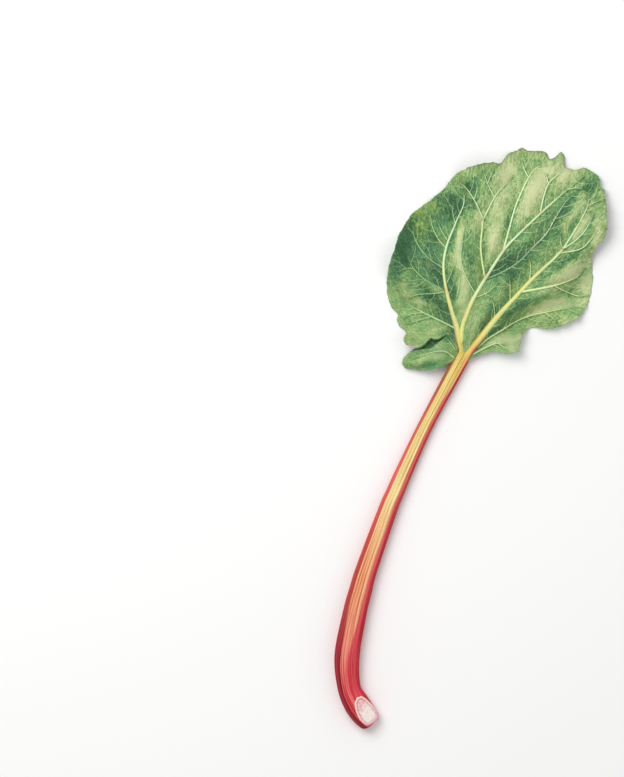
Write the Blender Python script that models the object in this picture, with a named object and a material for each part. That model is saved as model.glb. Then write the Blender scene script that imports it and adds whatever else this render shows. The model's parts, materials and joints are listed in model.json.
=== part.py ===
"""Rhubarb stalk with its leaf, as pulled: the stalk lies on its ribbed back and the wavy blade lies
beyond it with its upper side up. Metres, +Z up. The origin is under the middle of the whole leaf."""
import math

import bmesh
import bpy
import numpy as np
from mathutils import Vector
from mathutils.geometry import delaunay_2d_cdt

# Stalk: places and widths along its middle, from the hooked foot up to the blade.
STALK_ROUTE = [
    (-0.0783, -0.2285), (-0.0791, -0.2275), (-0.0802, -0.2262), (-0.0850, -0.2205),
    (-0.0915, -0.2115), (-0.0974, -0.1985), (-0.0988, -0.1729), (-0.0926, -0.1390),
    (-0.0836, -0.1049), (-0.0603, -0.0433), (-0.0495, -0.0185), (-0.0337, 0.0147),
    (-0.0059, 0.0663),
]
STALK_WIDTHS = [
    0.0112, 0.0152, 0.0176, 0.0204, 0.0206, 0.0178, 0.0190, 0.0172, 0.0156, 0.0128, 0.0120,
    0.0114, 0.0116,
]
STALK_FLATNESS = 0.88          # thickness over width
STALK_RIBS = 15                # ribs round the section
RIB_DEPTH = 0.0007
BELLY_SINK = 0.0015            # how much of the ribbed back is pressed flat where it lies
RING_STEP = 0.0070             # spacing of the sections along the stalk
CUT_POINT = (-0.0870, -0.2130, 0.0140)
CUT_NORMAL = (0.39, 0.02, 0.92)
FOOT_TOP = -0.150              # the slanting cut reaches no further up the stalk than this
JOINT_GAP = 0.0003             # clearance between the stalk's end and the blade's root

# Blade: its margin, seen from above, from the stalk's right side round to its left side.
MARGIN = [
    (0.0030, 0.0650), (0.0113, 0.0677), (0.0184, 0.0690), (0.0306, 0.0672), (0.0363, 0.0680),
    (0.0388, 0.0706), (0.0400, 0.0790), (0.0463, 0.0873), (0.0605, 0.0873), (0.0706, 0.0888),
    (0.0792, 0.0927), (0.0863, 0.0963), (0.0933, 0.1063), (0.0979, 0.1271), (0.0970, 0.1377),
    (0.0977, 0.1463), (0.1052, 0.1573), (0.1085, 0.1666), (0.1079, 0.1786), (0.1065, 0.1932),
    (0.1072, 0.1978), (0.1039, 0.2004), (0.1026, 0.2084), (0.0972, 0.2131), (0.0906, 0.2160),
    (0.0840, 0.2144), (0.0780, 0.2157), (0.0754, 0.2177), (0.0747, 0.2256), (0.0720, 0.2284),
    (0.0674, 0.2244), (0.0635, 0.2233), (0.0608, 0.2276), (0.0568, 0.2296), (0.0476, 0.2296),
    (0.0409, 0.2320), (0.0363, 0.2296), (0.0289, 0.2263), (0.0233, 0.2191), (0.0157, 0.2199),
    (-0.0003, 0.2167), (-0.0123, 0.2103), (-0.0203, 0.2007), (-0.0323, 0.1903),
    (-0.0470, 0.1790), (-0.0560, 0.1650), (-0.0610, 0.1510), (-0.0662, 0.1343),
    (-0.0667, 0.1183), (-0.0659, 0.1039), (-0.0587, 0.0975), (-0.0545, 0.0890),
    (-0.0540, 0.0790), (-0.0500, 0.0735), (-0.0455, 0.0722), (-0.0500, 0.0690),
    (-0.0545, 0.0635), (-0.0555, 0.0579), (-0.0483, 0.0551), (-0.0355, 0.0546),
    (-0.0240, 0.0568), (-0.0180, 0.0603),
]
RIBS = {                       # each main rib: its middle, and its half width at root and tip
    "left": ([(-0.0059, 0.0663), (-0.0099, 0.0879), (-0.0147, 0.1015), (-0.0195, 0.1183),
              (-0.0219, 0.1367), (-0.0195, 0.1527), (-0.0123, 0.1711), (-0.0059, 0.1855)],
             0.0056, 0.0008),
    "middle": ([(-0.0085, 0.0820), (-0.0059, 0.0951), (-0.0003, 0.1087), (0.0122, 0.1295),
                (0.0253, 0.1487), (0.0437, 0.1671), (0.0673, 0.1895), (0.0906, 0.2087)],
               0.0030, 0.0008),
    "right": ([(-0.0059, 0.0663), (0.0061, 0.0807), (0.0157, 0.0911), (0.0253, 0.1015),
               (0.0381, 0.1143), (0.0573, 0.1343), (0.0733, 0.1511), (0.0858, 0.1698)],
              0.0056, 0.0008),
    "left_side": ([(-0.0115, 0.0878), (-0.0270, 0.0962), (-0.0478, 0.1061), (-0.0564, 0.1121)],
                  0.0014, 0.0006),
    "right_side": ([(0.0061, 0.0730), (0.0257, 0.0864), (0.0501, 0.0980), (0.0820, 0.1042)],
                   0.0014, 0.0006),
    "upper_side": ([(0.0109, 0.1293), (0.0079, 0.1526), (0.0109, 0.1745), (-0.0039, 0.2003)],
                   0.0014, 0.0006),
}
LEAF_STEP = 0.0048             # spacing of the blade's mesh
ROW_STEP = LEAF_STEP * math.sin(math.radians(60))
LAMINA = 0.0011                # thickness of the blade between its ribs
RIB_DROP = 1.1                 # how far a rib stands down below the blade, over its half width
RIB_FLARE = 0.0012             # its foot is this much wider on each side
RIB_FULL_TAPER = 0.62          # how far along a rib it has come down to its tip's width
RIB_TAPER_BEND = 0.7           # under 1: most of that is near the root
ROOT_DEPTH = 0.0088            # depth of the ribs where they leave the stalk
ROOT_FADE = 0.030              # distance in which that depth fades into plain ribs
ROOT_HALF = 0.0062             # how far out from a rib's middle that depth reaches

# Rise and fall of the blade.
ARCH = 0.0100                  # the blade's middle stands this much above the stalk's top
ARCH_SPREAD = 0.030            # how far in from the margin it has risen by two thirds
PILLOW = 0.0034                # the blade swells up between its ribs
PILLOW_SPREAD = 0.011
RUFFLE = 0.0115                # waves of the margin
RUFFLE_DEPTH = 0.030           # how far in from the margin the waves fade
RUFFLE_START = 0.060           # distance from the stalk where they have their full size
RUFFLE_BEND = 1.5              # over 1: they set in late
WAVES = [(0.62, 9, 0.4), (0.38, 17, 2.0)]       # share, waves in a full turn, and where they start
DROOP = 0.0090                 # the margin hangs lower than the middle
FOLD = [(-0.0530, 0.0722), (-0.0400, 0.0716), (-0.0330, 0.0752), (-0.0191, 0.0819)]
FOLD_DEPTH = 0.0065            # crease beside the left ear of the blade, at its outer end
FOLD_EASE = 0.5                # share of that depth lost by its inner end
FOLD_WIDTH = 0.0040
FLOOR_CLEARANCE = LAMINA + 0.0001
FLOOR_EASE = 0.0012            # how gently the blade comes down on to the floor


def material(name, colour, roughness):
    """A plain material of one colour."""
    made = bpy.data.materials.new(name)
    made.use_nodes = True
    shader = made.node_tree.nodes["Principled BSDF"]
    shader.inputs["Base Color"].default_value = (*colour, 1.0)
    shader.inputs["Roughness"].default_value = roughness
    shader.inputs["Metallic"].default_value = 0.0
    made.diffuse_color = (*colour, 1.0)
    return made


def smooth_line(points, step):
    """Points about one step apart on a Catmull-Rom curve through the given ones."""
    given = [np.array(p, float) for p in points]
    line = []
    for i in range(len(given) - 1):
        b = given[i]
        c = given[i + 1]
        a = given[i - 1] if i > 0 else 2 * b - c
        d = given[i + 2] if i + 2 < len(given) else 2 * c - b
        parts = max(1, round(np.linalg.norm(c - b) / step))
        for k in range(parts):
            t = k / parts
            line.append(0.5 * (2 * b + (c - a) * t + (2 * a - 5 * b + 4 * c - d) * t * t
                               + (3 * b - a - 3 * c + d) * t ** 3))
    line.append(given[-1])
    return np.array(line)


def nearest(points, line):
    """For each point: its distance from a line of points, and how far along the line that is."""
    a = line[:-1]
    run = line[1:] - a
    length = np.linalg.norm(run, axis=1)
    start = np.concatenate([[0.0], np.cumsum(length)])
    rel = points[:, None, :] - a[None, :, :]
    t = np.clip((rel * run).sum(2) / (length ** 2), 0.0, 1.0)
    gap = np.linalg.norm(rel - t[:, :, None] * run[None, :, :], axis=2)
    best = gap.argmin(axis=1)
    row = np.arange(len(points))
    along = (start[best] + t[row, best] * length[best]) / start[-1]
    return gap[row, best], along


def inside(points, outline):
    """True for the points within a closed outline."""
    x = points[:, 0][:, None]
    y = points[:, 1][:, None]
    ax, ay = outline[:, 0][None], outline[:, 1][None]
    bx, by = np.roll(outline[:, 0], -1)[None], np.roll(outline[:, 1], -1)[None]
    spans = (ay > y) != (by > y)
    rise = np.where(by == ay, 1.0, by - ay)
    crossing = ax + (y - ay) * (bx - ax) / rise
    return ((spans & (x < crossing)).sum(axis=1) % 2).astype(bool)


def stalk_section(width, count):
    """The stalk's ribbed outline across its length: (sideways, up) points, belly at zero."""
    thick = width * STALK_FLATNESS
    ring = []
    for i in range(count):
        turn = 2 * math.pi * i / count
        rib = RIB_DEPTH * math.cos(STALK_RIBS * turn)
        side = (width / 2 + rib) * math.cos(turn)
        up = (thick / 2 + rib) * math.sin(turn)
        ring.append((side, max(up + thick / 2 - BELLY_SINK, 0.0)))
    return ring


def make_stalk():
    """The stalk: sections lofted along its route, cut square at the blade and aslant at the foot."""
    route = smooth_line([(*p, w) for p, w in zip(STALK_ROUTE, STALK_WIDTHS)], RING_STEP)
    heading = np.gradient(route[:, :2], axis=0)
    heading /= np.linalg.norm(heading, axis=1)[:, None]
    mesh = bmesh.new()
    rings = []
    for (x, y, width), (hx, hy) in zip(route, heading):
        section = stalk_section(width, 2 * STALK_RIBS)
        rings.append([mesh.verts.new((x + side * hy, y - side * hx, up)) for side, up in section])
    for low, high in zip(rings, rings[1:]):
        for i in range(len(low)):
            mesh.faces.new((low[i - 1], high[i - 1], high[i], low[i]))
    mesh.faces.new(rings[0])
    mesh.faces.new(list(reversed(rings[-1])))
    bmesh.ops.recalc_face_normals(mesh, faces=mesh.faces)
    foot = [v for v in mesh.verts if v.co.y < FOOT_TOP]
    foot += [e for e in mesh.edges if all(v.co.y < FOOT_TOP for v in e.verts)]
    foot += [f for f in mesh.faces if all(v.co.y < FOOT_TOP for v in f.verts)]
    cut = bmesh.ops.bisect_plane(
        mesh, geom=foot, dist=1e-6, plane_co=CUT_POINT, plane_no=CUT_NORMAL, clear_outer=True)
    rim = [e for e in cut["geom_cut"] if isinstance(e, bmesh.types.BMEdge)]
    bmesh.ops.edgeloop_fill(mesh, edges=rim)
    bmesh.ops.remove_doubles(mesh, verts=mesh.verts, dist=1e-4)
    bmesh.ops.triangulate(mesh, faces=mesh.faces)
    bmesh.ops.recalc_face_normals(mesh, faces=mesh.faces)
    return mesh


def leaf_height(points, outline, ribs):
    """Height of the blade's upper side at each point."""
    root = np.array(STALK_ROUTE[-1])
    out = points - root
    far = np.linalg.norm(out, axis=1)
    turn = np.arctan2(out[:, 1], out[:, 0])
    loop = np.vstack([outline, outline[:1]])
    edge, _ = nearest(points, loop)
    rib_gap = np.min([nearest(points, line)[0] for line, _, _ in ribs.values()], axis=0)
    top = STALK_WIDTHS[-1] * STALK_FLATNESS - BELLY_SINK
    height = top + ARCH * (1 - np.exp(-edge / ARCH_SPREAD))
    height += PILLOW * (1 - np.exp(-(rib_gap / PILLOW_SPREAD) ** 2))
    near_edge = np.exp(-edge / RUFFLE_DEPTH)
    spread = np.clip(far / RUFFLE_START, 0.0, 1.0) ** RUFFLE_BEND
    wave = sum(share * np.sin(count * turn + start) for share, count, start in WAVES)
    height += spread * near_edge * (RUFFLE * wave - DROOP)
    fold_gap, fold_along = nearest(points, smooth_line(FOLD, LEAF_STEP))
    crease = np.exp(-(fold_gap / FOLD_WIDTH) ** 2)
    height -= FOLD_DEPTH * (1 - FOLD_EASE * fold_along) * crease
    over = (height - FLOOR_CLEARANCE) / FLOOR_EASE
    return FLOOR_CLEARANCE + FLOOR_EASE * np.logaddexp(0.0, over)


def leaf_depth(points, ribs):
    """Thickness of the blade at each point: thin, with ribs under it that are deep at the root."""
    depth = np.full(len(points), LAMINA)
    for line, root_half, tip_half in ribs.values():
        gap, along = nearest(points, line)
        taper = np.minimum(along / RIB_FULL_TAPER, 1.0) ** RIB_TAPER_BEND
        half = root_half + (tip_half - root_half) * taper
        crown = np.sqrt(np.clip(1 - (gap / (half + RIB_FLARE)) ** 2, 0.0, 1.0))
        depth = np.maximum(depth, LAMINA + crown * RIB_DROP * half)
    far = np.linalg.norm(points - np.array(STALK_ROUTE[-1]), axis=1)
    fade = np.clip(1 - (far / ROOT_FADE) ** 2, 0.0, 1.0)
    rib_gap = np.min([nearest(points, line)[0] for line, _, _ in ribs.values()], axis=0)
    root = ROOT_DEPTH * fade * (rib_gap < ROOT_HALF)
    return np.maximum(depth, root)


def make_leaf():
    """The blade: an even net of triangles over its outline, raised to its height and extruded down."""
    route = smooth_line(STALK_ROUTE, RING_STEP)
    heading = route[-1] - route[-2]
    heading /= np.linalg.norm(heading)
    side = np.array([heading[1], -heading[0]])
    end = route[-1] + heading * JOINT_GAP
    half = STALK_WIDTHS[-1] / 2 + RIB_DEPTH
    corners = [end - side * half, end + side * half]
    margin = smooth_line(MARGIN, LEAF_STEP)
    outline = np.vstack([corners[0], corners[1], margin])
    ribs = {name: (smooth_line(line, LEAF_STEP), a, b) for name, (line, a, b) in RIBS.items()}
    low, high = outline.min(axis=0), outline.max(axis=0)
    rows = int((high[1] - low[1]) / ROW_STEP) + 1
    columns = int((high[0] - low[0]) / LEAF_STEP) + 2
    net = np.array([(low[0] + (i + 0.5 * (j % 2)) * LEAF_STEP, low[1] + j * ROW_STEP)
                    for j in range(rows) for i in range(columns)])
    on_ribs = np.vstack([line[1:] for line, _, _ in ribs.values()])
    loop = np.vstack([outline, outline[:1]])
    on_ribs = on_ribs[inside(on_ribs, outline) & (nearest(on_ribs, loop)[0] > 0.5 * LEAF_STEP)]
    net = net[inside(net, outline) & (nearest(net, loop)[0] > 0.55 * LEAF_STEP)]
    clear = np.linalg.norm(net[:, None] - on_ribs[None], axis=2).min(axis=1) > 0.6 * LEAF_STEP
    keep = [on_ribs[0]]
    for point in on_ribs[1:]:
        if np.linalg.norm(np.array(keep) - point, axis=1).min() > 0.5 * LEAF_STEP:
            keep.append(point)
    points = np.vstack([outline, np.array(keep), net[clear]])
    face = list(range(len(outline)))
    made = delaunay_2d_cdt([Vector(p) for p in points], [], [face], 1, 1e-7)
    flat = np.array([tuple(p) for p in made[0]])
    mesh = bmesh.new()
    thickness = mesh.verts.layers.float.new("thickness")
    verts = []
    for (x, y), z, thick in zip(flat, leaf_height(flat, outline, ribs), leaf_depth(flat, ribs)):
        vert = mesh.verts.new((x, y, z))
        vert[thickness] = thick
        verts.append(vert)
    for triangle in made[2]:
        mesh.faces.new([verts[i] for i in triangle])
    shell = bmesh.ops.extrude_face_region(mesh, geom=list(mesh.faces), use_keep_orig=True)
    for vert in shell["geom"]:
        if isinstance(vert, bmesh.types.BMVert):
            vert.co.z = max(0.0, vert.co.z - vert[thickness])
    bmesh.ops.triangulate(mesh, faces=mesh.faces)
    bmesh.ops.recalc_face_normals(mesh, faces=mesh.faces)
    return mesh


def add_object(name, mesh, made_of, collection):
    """Puts a finished mesh in the scene under its name."""
    data = bpy.data.meshes.new(name)
    mesh.to_mesh(data)
    mesh.free()
    data.materials.append(made_of)
    made = bpy.data.objects.new(name, data)
    collection.objects.link(made)
    return made


def main():
    for old in list(bpy.data.objects):
        bpy.data.objects.remove(old, do_unlink=True)
    collection = bpy.data.collections.new("rhubarb_stalk")
    bpy.context.scene.collection.children.link(collection)
    red = material("stalk_red", (0.58, 0.05, 0.09), 0.4)
    green = material("leaf_green", (0.12, 0.27, 0.12), 0.55)
    stalk = add_object("petiole", make_stalk(), red, collection)
    stalk.data.shade_smooth()
    stalk.data.set_sharp_from_angle(angle=math.radians(40))
    leaf = add_object("leaf_blade", make_leaf(), green, collection)
    leaf.data.shade_smooth()


main()
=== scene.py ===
"""Rhubarb stalk with its leaf, lying flat on a pale floor: ribbed crimson stalk with a slanting cut
at its hooked foot, thick yellow ribs that spread from its top, and a wavy, puckered blade."""

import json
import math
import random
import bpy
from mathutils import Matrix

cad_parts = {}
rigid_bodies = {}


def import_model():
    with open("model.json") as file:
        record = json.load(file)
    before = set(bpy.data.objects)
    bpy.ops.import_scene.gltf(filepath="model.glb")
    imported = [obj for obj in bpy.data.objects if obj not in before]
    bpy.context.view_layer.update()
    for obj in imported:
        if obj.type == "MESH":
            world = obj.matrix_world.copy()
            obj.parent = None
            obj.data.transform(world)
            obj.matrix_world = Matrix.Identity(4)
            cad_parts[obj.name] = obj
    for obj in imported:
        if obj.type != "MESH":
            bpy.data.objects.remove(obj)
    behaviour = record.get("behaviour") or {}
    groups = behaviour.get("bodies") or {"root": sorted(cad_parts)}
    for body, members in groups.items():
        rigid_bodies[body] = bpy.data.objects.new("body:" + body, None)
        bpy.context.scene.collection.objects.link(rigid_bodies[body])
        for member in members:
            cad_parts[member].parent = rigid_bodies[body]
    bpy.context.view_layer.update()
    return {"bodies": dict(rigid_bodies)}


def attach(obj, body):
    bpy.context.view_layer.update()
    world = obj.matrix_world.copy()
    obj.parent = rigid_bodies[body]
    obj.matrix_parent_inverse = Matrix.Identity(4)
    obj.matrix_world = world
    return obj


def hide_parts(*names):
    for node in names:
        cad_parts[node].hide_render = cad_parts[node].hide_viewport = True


bl_info = {
    "name": "Rhubarb Stalk",
    "version": (1, 0, 0),
    "blender": (4, 5, 0),
    "location": "3D Viewport > Sidebar > Rhubarb",
    "description": "A cut rhubarb stalk with its leaf, ribs and veins, on a plain stage",
    "category": "Add Mesh",
}

import bmesh
import bpy
import numpy as np
from bpy.props import FloatProperty, FloatVectorProperty, IntProperty, PointerProperty
from mathutils import Vector, kdtree, noise
from mathutils.geometry import delaunay_2d_cdt

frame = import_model()
BODY = next(iter(frame["bodies"]))
MM = 0.001

# The stalk's middle line from the hooked foot to the blade, and its width at each point.
STALK_ROUTE = [
    (-0.0783, -0.2285), (-0.0791, -0.2275), (-0.0802, -0.2262), (-0.0850, -0.2205),
    (-0.0915, -0.2115), (-0.0974, -0.1985), (-0.0988, -0.1729), (-0.0926, -0.1390),
    (-0.0881, -0.1215), (-0.0833, -0.1049), (-0.0665, -0.0577), (-0.0605, -0.0433),
    (-0.0495, -0.0185), (-0.0337, 0.0147), (-0.0059, 0.0663), (-0.0046, 0.0687),
]
STALK_WIDTHS = [
    0.0112, 0.0152, 0.0176, 0.0204, 0.0206, 0.0180, 0.0194, 0.0183, 0.0176, 0.0166, 0.0146, 0.0138,
    0.0126, 0.0114, 0.0116, 0.0060,
]
STALK_TOP_WIDTH = 0.0116    # where it meets the blade
FULL_RIB_WIDTH = 0.0196     # where the stalk is this wide its ribs have their full depth
SKIN_RADIUS = 0.0085        # brings the turn round the stalk to a distance over its skin
STALK_FLATNESS = 0.88       # thickness for one of width
BELLY_SINK = 0.0015         # how far the belly is pressed flat
CUT_POINT = Vector((-0.0870, -0.2130, 0.0140))
CUT_NORMAL = Vector((0.39, 0.02, 0.92)).normalized()
FOOT_TOP = -0.185           # the cut slices only what lies below this
LEAF_BASE = np.array([-0.0059, 0.0663])
LEAF_WAY = np.array([0.475, 0.880])         # where the stalk heads as it meets the blade
LEAF_SIDE = np.array([0.880, -0.475])       # from its left to its right there

# The blade's margin, from inside the stalk's right side round to inside its left side.
MARGIN = [
    (-0.0030, 0.0610), (0.0030, 0.0643), (0.0113, 0.0677), (0.0184, 0.0690), (0.0241, 0.0680),
    (0.0306, 0.0672), (0.0363, 0.0680), (0.0388, 0.0706), (0.0399, 0.0770), (0.0411, 0.0829),
    (0.0463, 0.0873), (0.0506, 0.0884), (0.0605, 0.0873), (0.0706, 0.0888), (0.0792, 0.0927),
    (0.0863, 0.0963), (0.0933, 0.1063), (0.0960, 0.1148), (0.0979, 0.1271), (0.0970, 0.1377),
    (0.0977, 0.1463), (0.1013, 0.1535), (0.1052, 0.1573), (0.1085, 0.1666), (0.1079, 0.1786),
    (0.1082, 0.1872), (0.1065, 0.1932), (0.1072, 0.1978), (0.1039, 0.2004), (0.1026, 0.2084),
    (0.0972, 0.2131), (0.0906, 0.2160), (0.0840, 0.2144), (0.0780, 0.2157), (0.0754, 0.2177),
    (0.0747, 0.2256), (0.0720, 0.2284), (0.0674, 0.2244), (0.0635, 0.2233), (0.0608, 0.2276),
    (0.0568, 0.2296), (0.0476, 0.2296), (0.0409, 0.2320), (0.0363, 0.2296), (0.0289, 0.2263),
    (0.0233, 0.2191), (0.0157, 0.2199), (-0.0003, 0.2167), (-0.0123, 0.2103), (-0.0203, 0.2007),
    (-0.0323, 0.1903), (-0.0470, 0.1790), (-0.0560, 0.1650), (-0.0610, 0.1510), (-0.0662, 0.1343),
    (-0.0667, 0.1183), (-0.0640, 0.1060), (-0.0586, 0.0990), (-0.0588, 0.0940), (-0.0570, 0.0896),
    (-0.0530, 0.0864), (-0.0518, 0.0838), (-0.0533, 0.0800), (-0.0536, 0.0772), (-0.0512, 0.0740),
    (-0.0468, 0.0720), (-0.0432, 0.0722), (-0.0480, 0.0694), (-0.0532, 0.0645), (-0.0548, 0.0600),
    (-0.0530, 0.0565), (-0.0483, 0.0551), (-0.0355, 0.0540), (-0.0240, 0.0560), (-0.0170, 0.0595),
    (-0.0110, 0.0615),
]

# Main ribs: the points that each runs through, and its radius in millimetres at each of them.
MAIN_RIBS = {
    "left": ([(-0.0177, 0.0499), (-0.0095, 0.0650), (-0.0080, 0.0703), (-0.0089, 0.0743),
              (-0.0104, 0.0823), (-0.0119, 0.0903), (-0.0154, 0.1015), (-0.0196, 0.1183),
              (-0.0219, 0.1367), (-0.0195, 0.1527), (-0.0123, 0.1711), (-0.0061, 0.1855),
              (-0.0054, 0.1937)],
             [3.0, 3.1, 2.9, 2.8, 2.5, 2.4, 1.8, 1.45, 1.1, 0.9, 0.65, 0.45, 0.25]),
    "middle": ([(-0.0086, 0.0735), (-0.0076, 0.0785), (-0.0073, 0.0848), (-0.0064, 0.0903),
                (-0.0049, 0.0951), (0.0004, 0.1087), (0.0066, 0.1199), (0.0126, 0.1295),
                (0.0253, 0.1487), (0.0341, 0.1587), (0.0547, 0.1785), (0.0671, 0.1897),
                (0.0773, 0.1987), (0.0900, 0.2093)],
               [1.2, 1.9, 1.85, 1.8, 1.8, 1.75, 1.6, 1.45, 1.15, 0.95, 0.8, 0.65, 0.45, 0.25]),
    "right": ([(-0.0131, 0.0475), (-0.0036, 0.0651), (0.0007, 0.0708), (0.0076, 0.0797),
               (0.0161, 0.0908), (0.0253, 0.1015), (0.0376, 0.1148), (0.0472, 0.1252),
               (0.0570, 0.1346), (0.0661, 0.1431), (0.0733, 0.1508)],
              [3.0, 3.1, 3.0, 2.75, 2.45, 2.1, 1.65, 1.5, 1.25, 1.1, 0.95]),
}
SWELLING_VEINS = (0, 14, 37)    # the blade swells between these as it does between the ribs
DIM_VEINS = (3, 5, 7, 21)       # those that lie in shade near their roots
GOLDEN_VEIN = 14
# Places where a vein leaves a rib with a reddish tinge.
FORKS = [
    (0.0112, 0.1290), (0.0256, 0.1500), (0.0430, 0.1674), (0.0555, 0.1799), (0.0103, 0.1741),
    (0.0732, 0.1491), (0.0852, 0.1715), (0.0924, 0.1855), (-0.0212, 0.1180),
]
# Side veins: the points that each runs through, and its radius in millimetres at either end.
SIDE_VEINS = [
    ([(-0.0115, 0.0871), (-0.0252, 0.0938), (-0.0373, 0.1000), (-0.0476, 0.1056), (-0.0564, 0.1121)],
     0.80, 0.25),
    ([(-0.0371, 0.1000), (-0.0467, 0.0994), (-0.0539, 0.0962)], 0.42, 0.16),
    ([(-0.0315, 0.0970), (-0.0403, 0.0946), (-0.0515, 0.0911)], 0.42, 0.16),
    ([(-0.0215, 0.1176), (-0.0364, 0.1262), (-0.0460, 0.1354), (-0.0504, 0.1452)], 0.65, 0.2),
    ([(-0.0207, 0.1167), (-0.0319, 0.1151), (-0.0419, 0.1146), (-0.0502, 0.1115)], 0.5, 0.18),
    ([(-0.0364, 0.1262), (-0.0417, 0.1217), (-0.0489, 0.1199)], 0.35, 0.15),
    ([(-0.0460, 0.1354), (-0.0521, 0.1351), (-0.0569, 0.1331)], 0.35, 0.15),
    ([(-0.0220, 0.1354), (-0.0350, 0.1448), (-0.0439, 0.1579), (-0.0462, 0.1697)], 0.6, 0.2),
    ([(-0.0196, 0.1513), (-0.0259, 0.1587), (-0.0311, 0.1697), (-0.0323, 0.1795)], 0.55, 0.2),
    ([(-0.0187, 0.1575), (-0.0235, 0.1655), (-0.0275, 0.1751)], 0.4, 0.15),
    ([(-0.0195, 0.1239), (-0.0160, 0.1311), (-0.0127, 0.1407)], 0.38, 0.15),
    ([(-0.0117, 0.1119), (-0.0097, 0.1223), (-0.0087, 0.1335)], 0.42, 0.15),
    ([(-0.0123, 0.1709), (-0.0144, 0.1795), (-0.0139, 0.1879)], 0.38, 0.16),
    ([(0.0027, 0.1159), (-0.0028, 0.1253), (-0.0067, 0.1343), (-0.0083, 0.1439), (-0.0069, 0.1583),
      (-0.0053, 0.1679)], 0.45, 0.15),
    ([(0.0109, 0.1280), (0.0087, 0.1403), (0.0075, 0.1527), (0.0085, 0.1648), (0.0096, 0.1746)],
     0.95, 0.65),
    ([(0.0096, 0.1746), (0.0030, 0.1888), (-0.0041, 0.1998), (-0.0123, 0.2064)], 0.6, 0.2),
    ([(0.0024, 0.1900), (0.0047, 0.1979), (0.0041, 0.2047)], 0.35, 0.15),
    ([(0.0096, 0.1740), (0.0184, 0.1917), (0.0255, 0.2005), (0.0340, 0.2091)], 0.6, 0.2),
    ([(0.0184, 0.1917), (0.0131, 0.2026), (0.0096, 0.2138)], 0.42, 0.16),
    ([(0.0131, 0.2030), (0.0157, 0.2095), (0.0178, 0.2135)], 0.3, 0.14),
    ([(0.0041, 0.1123), (0.0133, 0.1163), (0.0213, 0.1239)], 0.38, 0.15),
    ([(0.0126, 0.1272), (0.0250, 0.1324), (0.0372, 0.1400), (0.0493, 0.1521), (0.0596, 0.1628),
      (0.0673, 0.1759), (0.0750, 0.1877), (0.0824, 0.1950)], 0.60, 0.34),
    ([(0.0253, 0.1489), (0.0298, 0.1650), (0.0350, 0.1832), (0.0395, 0.1943), (0.0461, 0.2079),
      (0.0527, 0.2160), (0.0612, 0.2187)], 0.80, 0.45),
    ([(0.0461, 0.2079), (0.0428, 0.2148), (0.0410, 0.2218)], 0.46, 0.26),
    ([(0.0551, 0.1795), (0.0577, 0.1917), (0.0618, 0.2028), (0.0687, 0.2098), (0.0751, 0.2158)],
     0.64, 0.38),
    ([(0.0618, 0.2028), (0.0599, 0.2113)], 0.44, 0.26),
    ([(0.0759, 0.1979), (0.0825, 0.1997), (0.0893, 0.1991)], 0.38, 0.15),
    ([(0.0404, 0.1165), (0.0537, 0.1190), (0.0659, 0.1216), (0.0769, 0.1253), (0.0851, 0.1291),
      (0.0910, 0.1360)], 1.00, 0.40),
    ([(0.0661, 0.1214), (0.0747, 0.1176), (0.0857, 0.1137), (0.0941, 0.1146)], 0.48, 0.28),
    ([(0.0465, 0.1245), (0.0473, 0.1359), (0.0463, 0.1431)], 0.42, 0.15),
    ([(0.0312, 0.1095), (0.0310, 0.1215), (0.0303, 0.1295)], 0.38, 0.15),
    ([(0.0190, 0.0957), (0.0181, 0.1055), (0.0157, 0.1119)], 0.38, 0.15),
    ([(0.0733, 0.1508), (0.0714, 0.1559), (0.0710, 0.1631)], 0.38, 0.15),
    ([(0.0733, 0.1508), (0.0797, 0.1610), (0.0857, 0.1709), (0.0927, 0.1846), (0.0949, 0.1979)],
     0.70, 0.22),
    ([(0.0929, 0.1851), (0.0981, 0.1877), (0.1029, 0.1895)], 0.34, 0.14),
    ([(0.0740, 0.1512), (0.0844, 0.1586), (0.0915, 0.1666), (0.0980, 0.1791)], 0.52, 0.28),
    ([(0.0705, 0.1475), (0.0866, 0.1506), (0.0950, 0.1580), (0.1002, 0.1662)], 0.52, 0.28),
    ([(0.0040, 0.0712), (0.0133, 0.0793), (0.0255, 0.0868), (0.0376, 0.0940), (0.0499, 0.0985),
      (0.0588, 0.1003), (0.0698, 0.1027), (0.0820, 0.1048)], 0.88, 0.36),
    ([(0.0589, 0.1003), (0.0647, 0.0969), (0.0687, 0.0921)], 0.36, 0.15),
    ([(0.0253, 0.0867), (0.0285, 0.0911), (0.0293, 0.0959)], 0.36, 0.15),
    ([(0.0015, 0.0668), (0.0133, 0.0730), (0.0208, 0.0756), (0.0293, 0.0740)], 0.55, 0.18),
    ([(0.0217, 0.0755), (0.0257, 0.0729), (0.0289, 0.0701)], 0.32, 0.14),
    ([(-0.0125, 0.0632), (-0.0191, 0.0685), (-0.0270, 0.0693), (-0.0380, 0.0666), (-0.0478, 0.0632)],
     0.75, 0.22),
    ([(-0.0120, 0.0700), (-0.0179, 0.0781), (-0.0211, 0.0799)], 0.36, 0.15),
]
# The deep crease above the left ear: the scalloped edge over it and the ear's edge under it.
CREASE_TOP = [
    (-0.0528, 0.0777), (-0.0493, 0.0724), (-0.0432, 0.0719), (-0.0379, 0.0742), (-0.0344, 0.0777),
    (-0.0317, 0.0795), (-0.0291, 0.0788), (-0.0256, 0.0792), (-0.0220, 0.0815), (-0.0180, 0.0832),
]
CREASE_FOOT = [
    (-0.0490, 0.0686), (-0.0423, 0.0702), (-0.0370, 0.0708), (-0.0326, 0.0711), (-0.0291, 0.0734),
    (-0.0264, 0.0756), (-0.0229, 0.0784), (-0.0180, 0.0826),
]
EAR_TIP = (-0.0480, 0.0735)         # the lip over the crease is pinkish round here
EAR_TIP_REACH = (0.0075, 0.0034)
TOP_MARGIN = (0.208, 0.222)         # the margin turns brownish between these distances up the blade
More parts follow.
